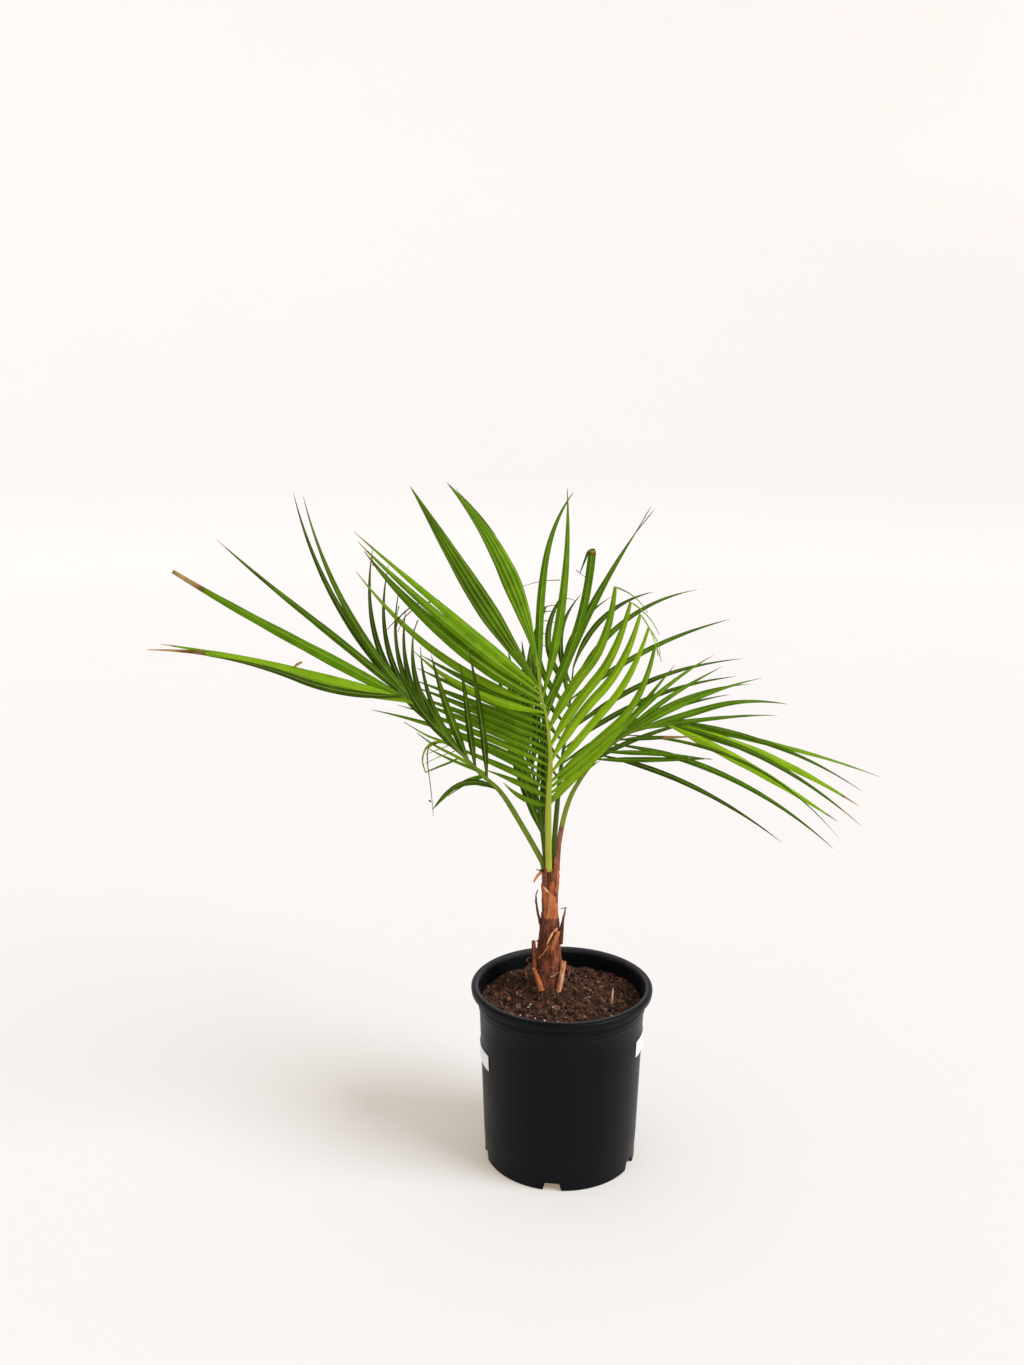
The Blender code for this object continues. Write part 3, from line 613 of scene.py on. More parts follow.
def pot_bearings():
    """Bearings round the pot, closer together at the sides of the notches."""
    turns = set(i * 2.0 for i in range(180))
    for i in range(NOTCHES):
        middle = NOTCH_TURN + 360 / NOTCHES * i
        for side in (-1, 1):
            for across in (5.4, 6.0, 6.5, 7.0, 7.5, 8.0, 8.5, 9.0, 9.6):
                turns.add(round((middle + side * math.degrees(across / BASE_R)) % 360, 3))
    ordered = sorted(turns)
    return [t for t, n in zip(ordered, ordered[1:] + [360.0]) if n - t > 0.15]


def wall_r(z):
    """The body's outer radius, with two faint ring steps near the foot."""
    r = BASE_R + (BODY_TOP_R - BASE_R) * z / STEP_Z
    return r + sum(RING_STEP * smooth((z - ring) / 0.6) for ring in FOOT_RINGS) - 2 * RING_STEP


def arc(middle_r, middle_z, radius, start, end, count):
    """Profile points on a circle, from one angle to another."""
    found = []
    for i in range(count):
        angle = math.radians(start + (end - start) * i / (count - 1))
        found.append((middle_r + radius * math.cos(angle), middle_z + radius * math.sin(angle)))
    return found


def make_pot(material):
    """The pot turned from one closed profile, whose foot lifts at the drainage notches."""
    band_z = POT_H - RIM_BAND
    lip_r = RIM_R - RIM_LIP
    floor_z = CHANNEL_Z + FLOOR_T
    outside = arc(RIM_R - 2.6, POT_H - 2.6, 2.6, 90, 0, 7)
    outside += [(RIM_R - 0.1, POT_H - 4.2), (RIM_R - 0.35, band_z + 1.6)]
    outside += arc(RIM_R - 1.45, band_z + 1.1, 1.1, -5, -85, 4)
    outside += [(NECK_R + 1.6, band_z), (NECK_R + 0.5, band_z - 0.4), (NECK_R, band_z - 1.4)]
    outside += [(NECK_R, STEP_Z + 6.6), (NECK_R + 0.22, STEP_Z + 6.2), (NECK_R + 0.22, STEP_Z + 5.2),
                (NECK_R, STEP_Z + 4.8), (NECK_R, STEP_Z + 1.2)]
    outside += arc(NECK_R - 0.7, STEP_Z + 0.9, 0.7, 0, -80, 4)
    outside += [(wall_r(STEP_Z) + 0.3, STEP_Z - 0.1), (wall_r(STEP_Z), STEP_Z - 0.9)]
    outside += [(wall_r(z), z) for z in (130, 110, 90, 70, 50, 38, 29)]
    for ring in reversed(FOOT_RINGS):
        outside += [(wall_r(z), z) for z in (ring + 1.2, ring + 0.6, ring + 0.3, ring, ring - 0.6)]
    foot = [(wall_r(7.0), 7.0), (wall_r(3.0), 3.0)]
    foot += arc(BASE_R - 1.3, 1.2, 1.2, 0, -90, 5)
    foot += [(CHANNEL_R + 0.5, 0.0), (CHANNEL_R, 0.5)]
    under = [(CHANNEL_R - 1, CHANNEL_Z - 0.4), (CHANNEL_R - 1.8, CHANNEL_Z),
             (DISH_R + 3, CHANNEL_Z), (DISH_R + 2.3, CHANNEL_Z - 0.6), (DISH_R + 0.5, 0.5),
             (DISH_R, 0.0), (DISH_R * 0.5, 0.0), (1.0, 0.0)]
    inside = [(1.0, FLOOR_T), (DISH_R - 2, FLOOR_T), (DISH_R + 1.5, floor_z)]
    inside += [(wall_r(z) - WALL, z) for z in (floor_z + 2, 60, 120, STEP_Z - 1)]
    inside += [(wall_r(STEP_Z) - WALL + 0.2, STEP_Z - 0.3), (NECK_R - WALL - 0.3, STEP_Z + 1.3),
               (NECK_R - WALL, STEP_Z + 2.0), (NECK_R - WALL + 0.1, POT_H - 10)]
    inside += [(lip_r - 0.1, POT_H - 5), (lip_r + 0.1, POT_H - 2.4)]
    inside += arc(lip_r + 1.7, POT_H - 1.6, 1.6, 175, 95, 5)
    profile = outside + foot + under + inside
    shell = Shell("pot_shell")
    foot_from = len(outside)
    foot_to = foot_from + len(foot)
    rings = []
    for turn in pot_bearings():
        lift = notch_lift(turn)
        angle = math.radians(turn)
        ring = []
        for i, (r, z) in enumerate(profile):
            if foot_from <= i < foot_to:
                z = min(z + lift, lift + z * (1 - lift / 9.0))
            # painted highlight: the lip's inner edge is painted pale
            lip_highlight = LIP_HIGHLIGHT * (z > POT_H - 3.0 and r < lip_r + 1.6)
            ring.append(shell.point((r * math.cos(angle), r * math.sin(angle), z), (0, 0, lip_highlight)))
        rings.append(ring)
    count = len(profile)
    for a, b in zip(rings, rings[1:] + rings[:1]):
        for k in range(count):
            n = (k + 1) % count
            shell.faces.append((a[k], b[k], b[n], a[n]))
    # The profile stops short of the axis, and two discs close the middle of the floor.
    last_under = foot_to + len(under) - 1
    shell.faces.append(tuple(ring[last_under] for ring in reversed(rings)))
    shell.faces.append(tuple(ring[last_under + 1] for ring in rings))
    for a, b in zip(rings, rings[1:] + rings[:1]):
        shell.faces.remove((a[last_under], b[last_under], b[last_under + 1], a[last_under + 1]))
    return shell.make(material, ["pot"], 40)


# Soil

def soil_height(x, y):
    """Lumpy potting mix, highest round the stem, as in the part's source."""
    from_stem = math.hypot(x - STEM_X, y - STEM_Y)
    mound = SOIL_RISE * math.exp(-(from_stem / 38) ** 2)
    lumps = 1.1 * math.sin(x * 0.21 + 1.3) * math.sin(y * 0.19 + 0.4)
    lumps += 0.7 * math.sin(x * 0.43 + y * 0.31) + 0.5 * math.sin(y * 0.57 - x * 0.37 + 2.0)
    calm = min(1.0, max(0.0, (from_stem - 15) / 14))
    return SOIL_EDGE_Z + mound + lumps * calm


def soil_surface(x, y):
    """The height with its fine crumbs."""
    rough = 1.3 * noise.fractal(Vector((x, y, 0)) * 0.16, 1.0, 2.1, 5)
    rough += 0.9 * abs(noise.noise(Vector((x, y, 4)) * 0.42))
    heap = HEAP_H * math.exp(-(math.hypot(x - STEM_X, y - STEM_Y) / HEAP_R) ** 2)
    return soil_height(x, y) + rough + heap


SOIL_R = NECK_R - WALL - 0.5
HEAP_H = 9.0                   # loose soil heaped against the stem
HEAP_R = 19.0


def make_soil(material):
    """The top as a fine polar net, closed below by a shallow plug that the pot hides."""
    shell = Shell("soil_bed")
    turns, steps = 200, 64
    rings = []
    for i in range(1, steps + 1):
        r = SOIL_R * i / steps
        ring = []
        for k in range(turns):
            angle = 2 * math.pi * k / turns
            x, y = r * math.cos(angle), r * math.sin(angle)
            tint = 0.44 + 0.36 * noise.noise(Vector((x, y, 9)) * 0.11)
            ring.append(shell.point((x, y, soil_surface(x, y)), (0, 0, tint)))
        rings.append(ring)
    for drop_r, z in ((SOIL_R, SOIL_EDGE_Z - 3.5), (BODY_TOP_R - WALL - 0.6, STEP_Z - 2),
                      (BASE_R - WALL, 14.0), (DISH_R, 10.8)):
        rings.append([shell.point((drop_r * math.cos(2 * math.pi * k / turns),
                                   drop_r * math.sin(2 * math.pi * k / turns), z), (0, 0, 0.3))
                      for k in range(turns)])
    for a, b in zip(rings, rings[1:]):
        for k in range(turns):
            n = (k + 1) % turns
            shell.faces.append((a[k], b[k], b[n], a[n]))
    top = shell.point((0, 0, soil_surface(0, 0)), (0, 0, 0.4))
    shell.faces += [(top, rings[0][k], rings[0][(k + 1) % turns]) for k in range(turns)]
    shell.faces.append(tuple(reversed(rings[-1])))
    return shell.make(material, ["soil"], 50)


def lump(shell, middle, sizes, turn, rng, tint, rough=0.28, level=1):
    """One crumb: a small sphere pushed about by noise, stretched and turned."""
    bm = bmesh.new()
    bmesh.ops.create_icosphere(bm, subdivisions=level, radius=1.0)
    seed = Vector((rng.uniform(-50, 50), rng.uniform(-50, 50), rng.uniform(-50, 50)))
    first = len(shell.points)
    for v in bm.verts:
        push = 1 + rough * noise.noise(v.co * 1.6 + seed) * 2
        place = Vector((v.co.x * sizes[0], v.co.y * sizes[1], v.co.z * sizes[2])) * push
        shell.point(middle + turn @ place, (0, 0, tint))
    for face in bm.faces:
        shell.faces.append(tuple(first + v.index for v in face.verts))
    bm.free()


def random_turn(rng):
    axis = Vector((rng.uniform(-1, 1), rng.uniform(-1, 1), rng.uniform(-1, 1)))
    return Matrix.Rotation(rng.uniform(0, math.tau), 3, axis.normalized())


def soil_place(rng, inner=14.5):
    """A random place on the soil, clear of the stem and the wall."""
    while True:
        r = (SOIL_R - 2.5) * math.sqrt(rng.random())
        angle = rng.uniform(0, math.tau)
        x, y = r * math.cos(angle), r * math.sin(angle)
        if math.hypot(x - STEM_X, y - STEM_Y) > inner:
            return x, y


def make_crumbs(material):
    rng = random.Random("crumbs")
    shell = Shell("soil_crumbs")
    for _ in range(2400):
        x, y = soil_place(rng)
        size = 0.55 + 1.9 * rng.random() ** 2.6
        sizes = (size * rng.uniform(0.8, 1.5), size * rng.uniform(0.6, 1.0), size * rng.uniform(0.5, 0.9))
        z = soil_surface(x, y) + size * rng.uniform(0.0, 0.45)
        lump(shell, Vector((x, y, z)), sizes, random_turn(rng), rng, rng.uniform(0.08, 0.92))
    return shell.make(material, (), 60)


def strand(shell, points, radius, tint, sides=4, dry=0.0):
    """A thin fibre or root along a few points, tapered to both ends."""
    line = smooth_route(points, max(1.2, radius * 4))
    rings = []
    for i, centre in enumerate(line):
        ahead = heading(line, i)
        side = ahead.orthogonal().normalized()
        up = ahead.cross(side)
        share = i / max(1, len(line) - 1)
        r = radius * (0.35 + 0.65 * min(1.0, 4 * share, 4 * (1 - share)))
        ring = []
        for k in range(sides):
            angle = math.tau * k / sides
            place = centre + side * r * math.cos(angle) + up * r * math.sin(angle)
            ring.append(shell.point(place, (0, share, tint), (0, dry, 0)))
        rings.append(ring)
    shell.loft(rings)


def make_peat_fibres(material):
    """Short reddish fibres that lie on the soil, some with an end in the air."""
    rng = random.Random("peat fibres")
    shell = Shell("soil_fibres")
    for _ in range(900):
        x, y = soil_place(rng, 12.5)
        angle = rng.uniform(0, math.tau)
        length = rng.uniform(2.5, 10)
        points = []
        for i in range(4):
            t = i / 3 - 0.5
            bend = rng.uniform(-0.8, 0.8)
            px = x + math.cos(angle) * length * t - math.sin(angle) * bend
            py = y + math.sin(angle) * length * t + math.cos(angle) * bend
            if math.hypot(px, py) > SOIL_R - 1.5:
                break
            points.append((px, py, soil_surface(px, py) + 0.35 + rng.uniform(0, 0.7)))
        if len(points) == 4:
            strand(shell, points, rng.uniform(0.12, 0.30), rng.uniform(0.45, 0.98))
    return shell.make(material, (), 60)


def make_bark_bits(material):
    rng = random.Random("bark bits")
    shell = Shell("soil_bark")
    for _ in range(60):
        x, y = soil_place(rng, 17)
        size = rng.uniform(1.6, 4.2)
        sizes = (size, size * rng.uniform(0.35, 0.6), size * rng.uniform(0.16, 0.3))
        turn = Matrix.Rotation(rng.uniform(0, math.tau), 3, "Z") @ Matrix.Rotation(
            rng.uniform(-0.5, 0.5), 3, "X")
        z = soil_surface(x, y) + sizes[2] * 1.2
        lump(shell, Vector((x, y, z)), sizes, turn, rng, rng.uniform(0.12, 0.44), 0.22, 2)
    return shell.make(material, (), 40)


PERLITE_BY_PHOTO = [(-1, -28), (-25, -41), (-17, -45), (-8, -20), (3, -38), (-39, -18), (-31, -20)]


def make_perlite(material):
    """White specks: a few where the photograph shows them, the rest at random."""
    rng = random.Random("perlite")
    shell = Shell("soil_perlite")
    spots = list(PERLITE_BY_PHOTO) + [soil_place(rng, 18) for _ in range(16)]
    for x, y in spots:
        size = rng.uniform(0.5, 1.15)
        z = soil_surface(x, y) + size * 0.45
        lump(shell, Vector((x, y, z)), (size, size * 0.8, size * 0.7), random_turn(rng), rng, 0.5,
             0.3, 2)
    return shell.make(material, (), 60)


# Stem

LAYERS = [                     # top of a sheath, its tilt and bearing, its thickness, its rags
    (172, 6, 200, 0.9, 1.5), (189, 7, 60, 0.8, 2.0), (208, 5, 330, 0.8, 2.0), (219, 2, 90, 0.5, 1.5),
    (229.5, 2.5, 90, 0.8, 2.6), (243, 4, 90, 0.35, 0.4), (254.5, 6.5, 90, 0.8, 0.5),
    (266, 5, 250, 0.3, 0.6),
]
LAYER_TINT = [0.34, 0.30, 0.36, 0.26, 0.30, 0.60, 0.66, 0.48, 0.44]
LAYER_FADE = 14                # how far down a sheath's edge stands out
STEM_TRIM = 1.2                # room for those edges inside the solid's radius


def layer_top(layer, turn):
    top, tilt, bearing, _, rags = layer
    ragged = rags * noise.noise(Vector((math.cos(turn), math.sin(turn), top * 0.1)) * 3.5)
    return top + tilt * math.sin(turn - math.radians(bearing)) + ragged


def stem_point(turn, z):
    """A point on the stem's surface and its tint. Sheaths overlap, each with a slanted edge.
    The tint has painted shade on the left side and painted light on the right, towards the key.
    """
    ripple = 1 + 0.04 * math.sin(3 * turn + z * 0.09) + 0.025 * math.sin(7 * turn - z * 0.05)
    r = blend(z, STEM_PROFILE, 1) * ripple - STEM_TRIM
    outer = len(LAYERS)
    for i, layer in enumerate(LAYERS):
        edge = layer_top(layer, turn) - z
        if edge > 0:
            r += layer[3] * smooth(edge / 0.9) * math.exp(-edge / LAYER_FADE)
            outer = min(outer, i)
    grain = noise.fractal(Vector((math.cos(turn) * 9, math.sin(turn) * 9, z * 0.07)), 0.8, 2.2, 5)
    r += 0.38 * grain
    place = Vector((STEM_X + r * math.cos(turn), STEM_Y + r * math.sin(turn), z))
    # 0.05 * cos(turn) is painted shade on the left and painted light on the right
    return place, LAYER_TINT[outer] + 0.16 * grain + 0.05 * math.cos(turn)


def make_stem(material):
    shell = Shell("stem_sheaths")
    turns = 96
    rings = []
    z = SOIL_EDGE_Z - 4
    while z < STEM_TOP_Z - 0.2:
        ring = []
        for k in range(turns):
            place, tint = stem_point(math.tau * k / turns, z)
            ring.append(shell.point(place, (0, 0, tint)))
        rings.append(ring)
        z += 0.9
    shell.loft(rings)
    return shell.make(material, ["stem"], 60)


def stem_edge(turn, z, lift):
    """A point that lies lift above the stem's surface."""
    place, _ = stem_point(turn, z)
    outward = Vector((math.cos(turn), math.sin(turn), 0))
    return place + outward * lift


def make_stem_fibres(material):
    """Fibres that run up the stem, most in the dark band and near the soil."""
    rng = random.Random("stem fibres")
    shell = Shell("stem_fibres")
    for _ in range(330):
        z = rng.choice((rng.uniform(158, 200), rng.uniform(192, 212), rng.uniform(160, 268)))
        turn = rng.uniform(0, math.tau)
        length = rng.uniform(5, 17)
        slant = rng.uniform(-0.25, 0.25)
        loose = rng.uniform(0.2, 1.5) if rng.random() < 0.2 else 0.2
        points = []
        for i in range(4):
            t = i / 3
            at = min(STEM_TOP_Z - 1, z + length * t)
            points.append(stem_edge(turn + slant * t, at, 0.1 + loose * t * t))
        strand(shell, points, rng.uniform(0.10, 0.24), rng.uniform(0.1, 0.7))
    return shell.make(material, (), 60)


def strip(shell, points, widths, tint, face, curl=0.3, ragged=0.0, seed=0, dry=0.0):
    """A thin strip of sheath or leaf, cupped across, whose edges may be ragged."""
    line = smooth_route(points, 1.6)
    along = shares(line)
    sizes = [(i / (len(widths) - 1), w) for i, w in enumerate(widths)]
    face = Vector(face).normalized()
    columns = (-1, -0.6, -0.2, 0.2, 0.6, 1)
    rings = []
    for i, centre in enumerate(line):
        ahead = heading(line, i)
        side = face.cross(ahead).normalized()
        up = ahead.cross(side)
        width = blend(along[i], sizes, 1)
        ring = []
        for sign in (1, -1):
            for x in columns if sign > 0 else reversed(columns):
                fray = ragged * noise.noise(Vector((i * 0.4, x * 4, seed)))
                place = centre + side * (x * width / 2 + fray)
                place += up * (curl * width * (1 - x * x) * 0.5 + 0.16 * sign * (1 - 0.6 * abs(x)))
                ring.append(shell.point(place, (x * width, along[i], tint + 0.12 * fray), (0, dry, 0)))
        rings.append(ring)
    shell.loft(rings)


def stub(shell, points, foot, top, tint):
    """The stub of an old stalk: a rough tube whose cut end is hollow."""
    line = smooth_route(points, 1.5)
    sides = 14
    rings = []
    for i, centre in enumerate(line):
        ahead = heading(line, i)
        side = ahead.orthogonal().normalized()
        up = ahead.cross(side)
        share = i / (len(line) - 1)
        r = foot + (top - foot) * share
        ring = []
        for k in range(sides):
            angle = math.tau * k / sides
            rough = 1 + 0.10 * noise.noise(Vector((k * 1.7, i * 0.12, foot * 9)))
            place = centre + (side * math.cos(angle) + up * math.sin(angle)) * r * rough
            paint = tint + 0.14 * noise.noise(Vector((k * 2.1, i * 0.2, top * 5)))
            ring.append(shell.point(place, (0, share, paint)))
        rings.append(ring)
    end, ahead = line[-1], heading(line, len(line) - 1)
    # the cut's rim is pale; inside the hollow the tint is painted shade, darker the deeper it goes
    for r, sink, paint in ((0.72, 0.15, 0.92), (0.55, 1.2, 0.30), (0.2, 1.6, 0.22)):
        inner = []
        for k in rings[-1] if r > 0.7 else rings[len(line) - 1]:
            rim = Vector(shell.points[k]) / MM
            inner.append(shell.point(end + (rim - end) * r - ahead * sink, (0, 1, paint)))
        rings.append(inner)
    shell.loft(rings)


# Old stubs, torn strips and roots as (places in the photograph, first and last depth, ...).
STUBS = [                      # and foot and end radius, tint
    ([(534.8, 970), (534, 953), (533.6, 941)], 9, 8, 2.3, 1.9, 0.36),
    ([(541.5, 991), (537.5, 978), (533.5, 968)], -3, 7, 2.9, 1.5, 0.66),
    ([(558.2, 993), (561.8, 974), (564, 961.5)], 2, 5, 2.7, 2.2, 0.84),
]
BACK_STUB = ([(-8, 25, 166), (-5, 29, 178), (-5, 31, 192)], 3.0, 2.2, 0.40)
STRIPS = [                     # and widths, tint
    ([(540.5, 924), (537, 908), (536, 896), (538, 889.5)], 12, 8, (3.0, 2.2, 1.8, 0.6), 0.22),
    ([(560, 944), (562, 926), (564.5, 913), (566, 907.5)], 12, 9, (5.5, 4.4, 2.4, 1.0), 0.26),
    ([(560.5, 908.8), (566.5, 907.6)], 9, 9, (0.7, 1.0), 0.30),
    ([(545, 871.5), (536.4, 869.6)], 9, 7, (2.4, 0.8), 0.12),
    ([(542, 871), (539.5, 873.6), (536, 878), (533.6, 882.5)], 9, 5, (3.2, 2.8, 2.2, 1.2), 0.70),
    ([(557.5, 928), (552, 934), (548.6, 940.5), (546.6, 945)], 5.5, 3.2, (1.6, 2.2, 1.8, 0.8), 0.84),
    ([(559, 931), (555, 941), (552, 950)], 5.8, 4.0, (3.0, 4.6, 2.0), 0.68),
    ([(543.5, 886.5), (546, 890), (549, 893)], 6.8, 6.2, (0.6, 1.8, 1.0), 0.90),
    ([(536.5, 941), (540, 940.5)], 8, 9, (1.6, 1.0), 0.10),
    ([(557.5, 903), (556.5, 892), (556.6, 878), (556.2, 866), (555.6, 856)], 8.5, 12,
     (0.8, 3.6, 5.6, 5.0, 2.4), 0.50),
    ([(544, 880), (545.5, 872), (545, 867)], 6.5, 6.5, (5.0, 3.4, 0.8), 0.40),
    ([(553.5, 881), (552.5, 873), (553.5, 868)], 5.5, 5.5, (5.0, 3.0, 0.8), 0.44),
]
BACK_STRIPS = [                # route, widths, tint, face
    ([(-6, 23, 226), (-6, 26, 245), (-7, 28, 262)], (5.0, 3.6, 0.8), 0.40, (0.3, 0.9, 0)),
    ([(-15, 25, 212), (-15, 29, 234), (-14, 32, 252)], (5.0, 3.6, 0.8), 0.40, (-0.2, 0.9, 0)),
]
ROOTS = [                      # and radius, tint
    ([(530.5, 957), (526.8, 959.5), (529, 963), (533, 966)], 8, 6, 0.40, 0.50),
    ([(527, 978), (525.5, 973), (528, 965.5), (532, 963.5)], 2, 6, 0.50, 0.46),
    ([(566.5, 965.5), (569.9, 968), (569.5, 972), (568, 976)], 4, 1, 0.50, 0.62),
    ([(550, 976.5), (553.6, 976), (558.2, 971.8)], 0, 1, 0.42, 0.98),
    ([(548.2, 945.5), (543, 954), (538, 958.5)], 2.6, 3.5, 0.42, 0.86),
    ([(530, 972), (538, 970), (547, 978)], 1, -1, 0.50, 0.20),
    ([(537, 957), (537.5, 948), (538, 941)], 6, 7, 0.45, 0.24),
]
TWIG = ([(611.3, 1004), (612.2, 996), (613, 988.5)], -9, -8, 0.95, 0.97)


def make_stem_extras(material):
    shell = Shell("stem_scraps")
    for spots, start, end, foot, top, tint in STUBS:
        stub(shell, photo_route(spots, start, end), foot, top, tint)
    stub(shell, *BACK_STUB)
    for i, (spots, start, end, widths, tint) in enumerate(STRIPS):
        strip(shell, photo_route(spots, start, end), widths, tint, (0.1, -1, 0.1), 0.3, 0.5, i)
    for i, (points, widths, tint, face) in enumerate(BACK_STRIPS):
        strip(shell, points, widths, tint, face, 0.35, 0.8, 20 + i)
    for spots, start, end, radius, tint in ROOTS:
        strand(shell, photo_route(spots, start, end), radius, tint, 6)
    return shell.make(material, (), 50)


def make_twig(material):
    """The pale bit of twig that stands in the soil."""
    shell = Shell("soil_twig")
    spots, start, end, radius, tint = TWIG
    strand(shell, photo_route(spots, start, end), radius, tint, 8)
    return shell.make(material, (), 50)


# Fronds

def section(pleats):
    """Columns across a leaflet: place from -1 to 1, height as a share of the width, rib."""
    if pleats == 1:
        return [(x, LEAF_FOLD * (1 - abs(x)) + (0.02 if x == 0 else 0), rib) for x, rib in (
            (-1, -1), (-0.93, -0.3), (-0.84, 0), (-0.13, 0), (-0.05, 0.75), (0, 1), (0.05, 0.75),
            (0.13, 0), (0.84, 0), (0.93, -0.3), (1, -1))]
    columns = []
    step = 2 / pleats
    crest = 0.055
    arch = 0.10
    for i in range(pleats):
        middle = -1 + step * (i + 0.5)
        for x, lift, rib in ((-0.5, 0, -0.9), (-0.42, 0.12, 0), (-0.12, 0.85, 0), (-0.04, 1.0, 0.8),
                             (0.04, 1.0, 0.8), (0.12, 0.85, 0), (0.42, 0.12, 0)):
            at = middle + x * step
            columns.append((at, arch * (1 - at * at) + crest * lift, rib))
    columns.append((1, 0, -0.9))
    return columns


def leaf_width(u, looks):
    """Width along a leaflet as a share of its widest place."""
    swell = min(1.0, 0.34 + 0.66 * smooth(u / 0.26) + 0.05 * u)
    if looks.get("pleats", 1) > 1:
        swell = min(1.0, 0.22 + 0.78 * smooth(u / 0.42))
        return swell * (1 - max(0.0, (u - 0.46) / 0.54) ** 1.25 * 0.975)
    if "cut" in looks:
        return swell * (1 - (1 - looks["cut"]) * max(0.0, (u - 0.35) / 0.65) ** 1.3)
    if "tail" in looks:
        return swell * (1 - max(0.0, (u - 0.5) / 0.5) ** 2 * 0.66)
    return swell * (1 - max(0.0, (u - 0.4) / 0.6) ** 1.35 * 0.95)


def leaflet(shell, root, face, key, play, rng, own, looks):
    """One leaflet. rng repeats the source's draws, and own serves the finer detail."""
    length, lean, depth, bend, droop, width = key
    lean = math.radians(lean + play * rng.uniform(-0.5, 0.5))
    length *= 1 + play * rng.uniform(-0.015, 0.01)
    depth += play * rng.uniform(-1.5, 1.5)
    out = Vector((math.sin(lean), 0, math.cos(lean)))
    aside = Vector((math.cos(lean), 0, -math.sin(lean)))
    fall = Vector((math.copysign(0.6, lean), 0, -1))
    turn = rng.uniform(-14, 14)
    wander = own.uniform(-0.006, 0.006)
    screw = own.uniform(-30, 30)
    phase = own.uniform(0, math.tau)
    # the tint holds painted shade and painted light as well as the leaflet's green
    tint = looks.get("tint", 0.4) + own.uniform(-0.10, 0.10) + looks.get("shift", 0.0)
    dry_from = looks.get("brown", 0.985) + own.uniform(-0.015, 0.008)
    centres = []
    widths = []
    for i in range(LEAF_RINGS + 1):
        u = i / LEAF_RINGS
        hang = max(0.0, (u - 0.55) / 0.45) ** 2
        sway = bend * 4 * u * (1 - u) + wander * math.sin(2 * math.pi * u + phase) * u
        centre = root + out * length * u + aside * length * sway
        centres.append(centre + Vector((0, depth * u, 0)) + fall * length * droop * hang)
        widths.append(width * leaf_width(u, looks))
    if "tail" in looks:
        add_tail(centres, widths, looks["tail"])
    blade = {"turn": turn, "screw": screw, "phase": phase, "tint": tint, "dry_from": dry_from,
             "lean": out, "face": face, "columns": section(looks.get("pleats", 1))}
    rings = [blade_ring(shell, centres, widths, i, blade) for i in range(len(centres))]
    shell.loft(rings)
    if "split" in looks:
        add_fork(shell, centres, face, length * looks["split"], tint)
    if "sliver" in looks:
        add_sliver(shell, centres, widths, face, looks["sliver"], tint)


def blade_ring(shell, centres, widths, i, blade):
    """One closed ring of points round a leaflet's section."""
    u = i / (len(centres) - 1)
    wide = widths[i]
    ahead = heading(centres, i)
    twist = Matrix.Rotation(math.radians(blade["turn"] + blade["screw"] * (u - 0.3)), 3, blade["lean"])
    side = (twist @ blade["face"]).cross(ahead).normalized()
    up = ahead.cross(side)
    flutter = 0.035 * wide * math.sin(u * 31 + blade["phase"])
    root_pale = max(0.0, 1 - u / 0.03) * 0.5
    ring = []
    for layer in (1, -1):
        row = blade["columns"] if layer > 0 else list(reversed(blade["columns"]))[1:-1]
        for x, height, rib in row:
            thick = LEAF_T / 2 * (1 - 0.75 * abs(x)) * (1 - 0.4 * u)
            lift = height * wide + layer * thick + flutter * x * abs(x)
            place = centres[i] + side * x * wide / 2 + up * lift
            dry = smooth((u - blade["dry_from"]) / 0.03 + 0.25 * abs(x) * (u > blade["dry_from"] - 0.05))
            rib = max(rib * (1 - 0.4 * u), root_pale) if rib > 0 or root_pale > 0 else rib
            state = (rib, dry, 0.0 if layer > 0 else 1.0)
            ring.append(shell.point(place, (x * wide / 2, u, blade["tint"] - 0.08 * u), state))
    return ring


def add_tail(centres, widths, tail):
    """Carries a leaflet on past its end with a thin tip, folded over to one lean and bent
    on to another."""
    length, lean_from, lean_to = tail
    steps = 12
    start = widths[-1]
    place = centres[-1]
    for i in range(1, steps + 1):
        lean = math.radians(lean_from + (lean_to - lean_from) * i / steps)
        place = place + Vector((math.sin(lean), 0, math.cos(lean))) * length / steps
        centres.append(place)
        widths.append(0.35 * start * (1 - i / steps) ** 1.1 + 0.5)


def add_fork(shell, centres, face, length, tint):
    """Two dry points at the end of a leaflet that has split there."""
    end = centres[-1]
    ahead = heading(centres, len(centres) - 1)
    side = face.cross(ahead).normalized()
    for sign in (-1, 1):
        points = [end - ahead * 6 + side * sign * 0.35]
        points += [end + side * sign * 0.5, end + ahead * length + side * sign * length * 0.10]
        strand(shell, points, 0.42, tint, 5, 0.3)


def add_sliver(shell, centres, widths, face, short, tint):
    """A thin strand torn loose along one edge, which ends short of the blade's tip."""
    last = len(centres) - 1
    points = []
    for share in (0.66, 0.78, 0.87, 0.93):
        i = round(last * share)
        side = face.cross(heading(centres, i)).normalized()
        points.append(centres[i] - side * (widths[i] / 2 + 0.3))
    ahead = (points[-1] - points[-2]).normalized()
    points.append(centres[-1] - ahead * short + (points[-1] - centres[round(last * 0.93)]) * 1.2)
    strand(shell, points, 0.45, tint - 0.2, 5, 0.25)


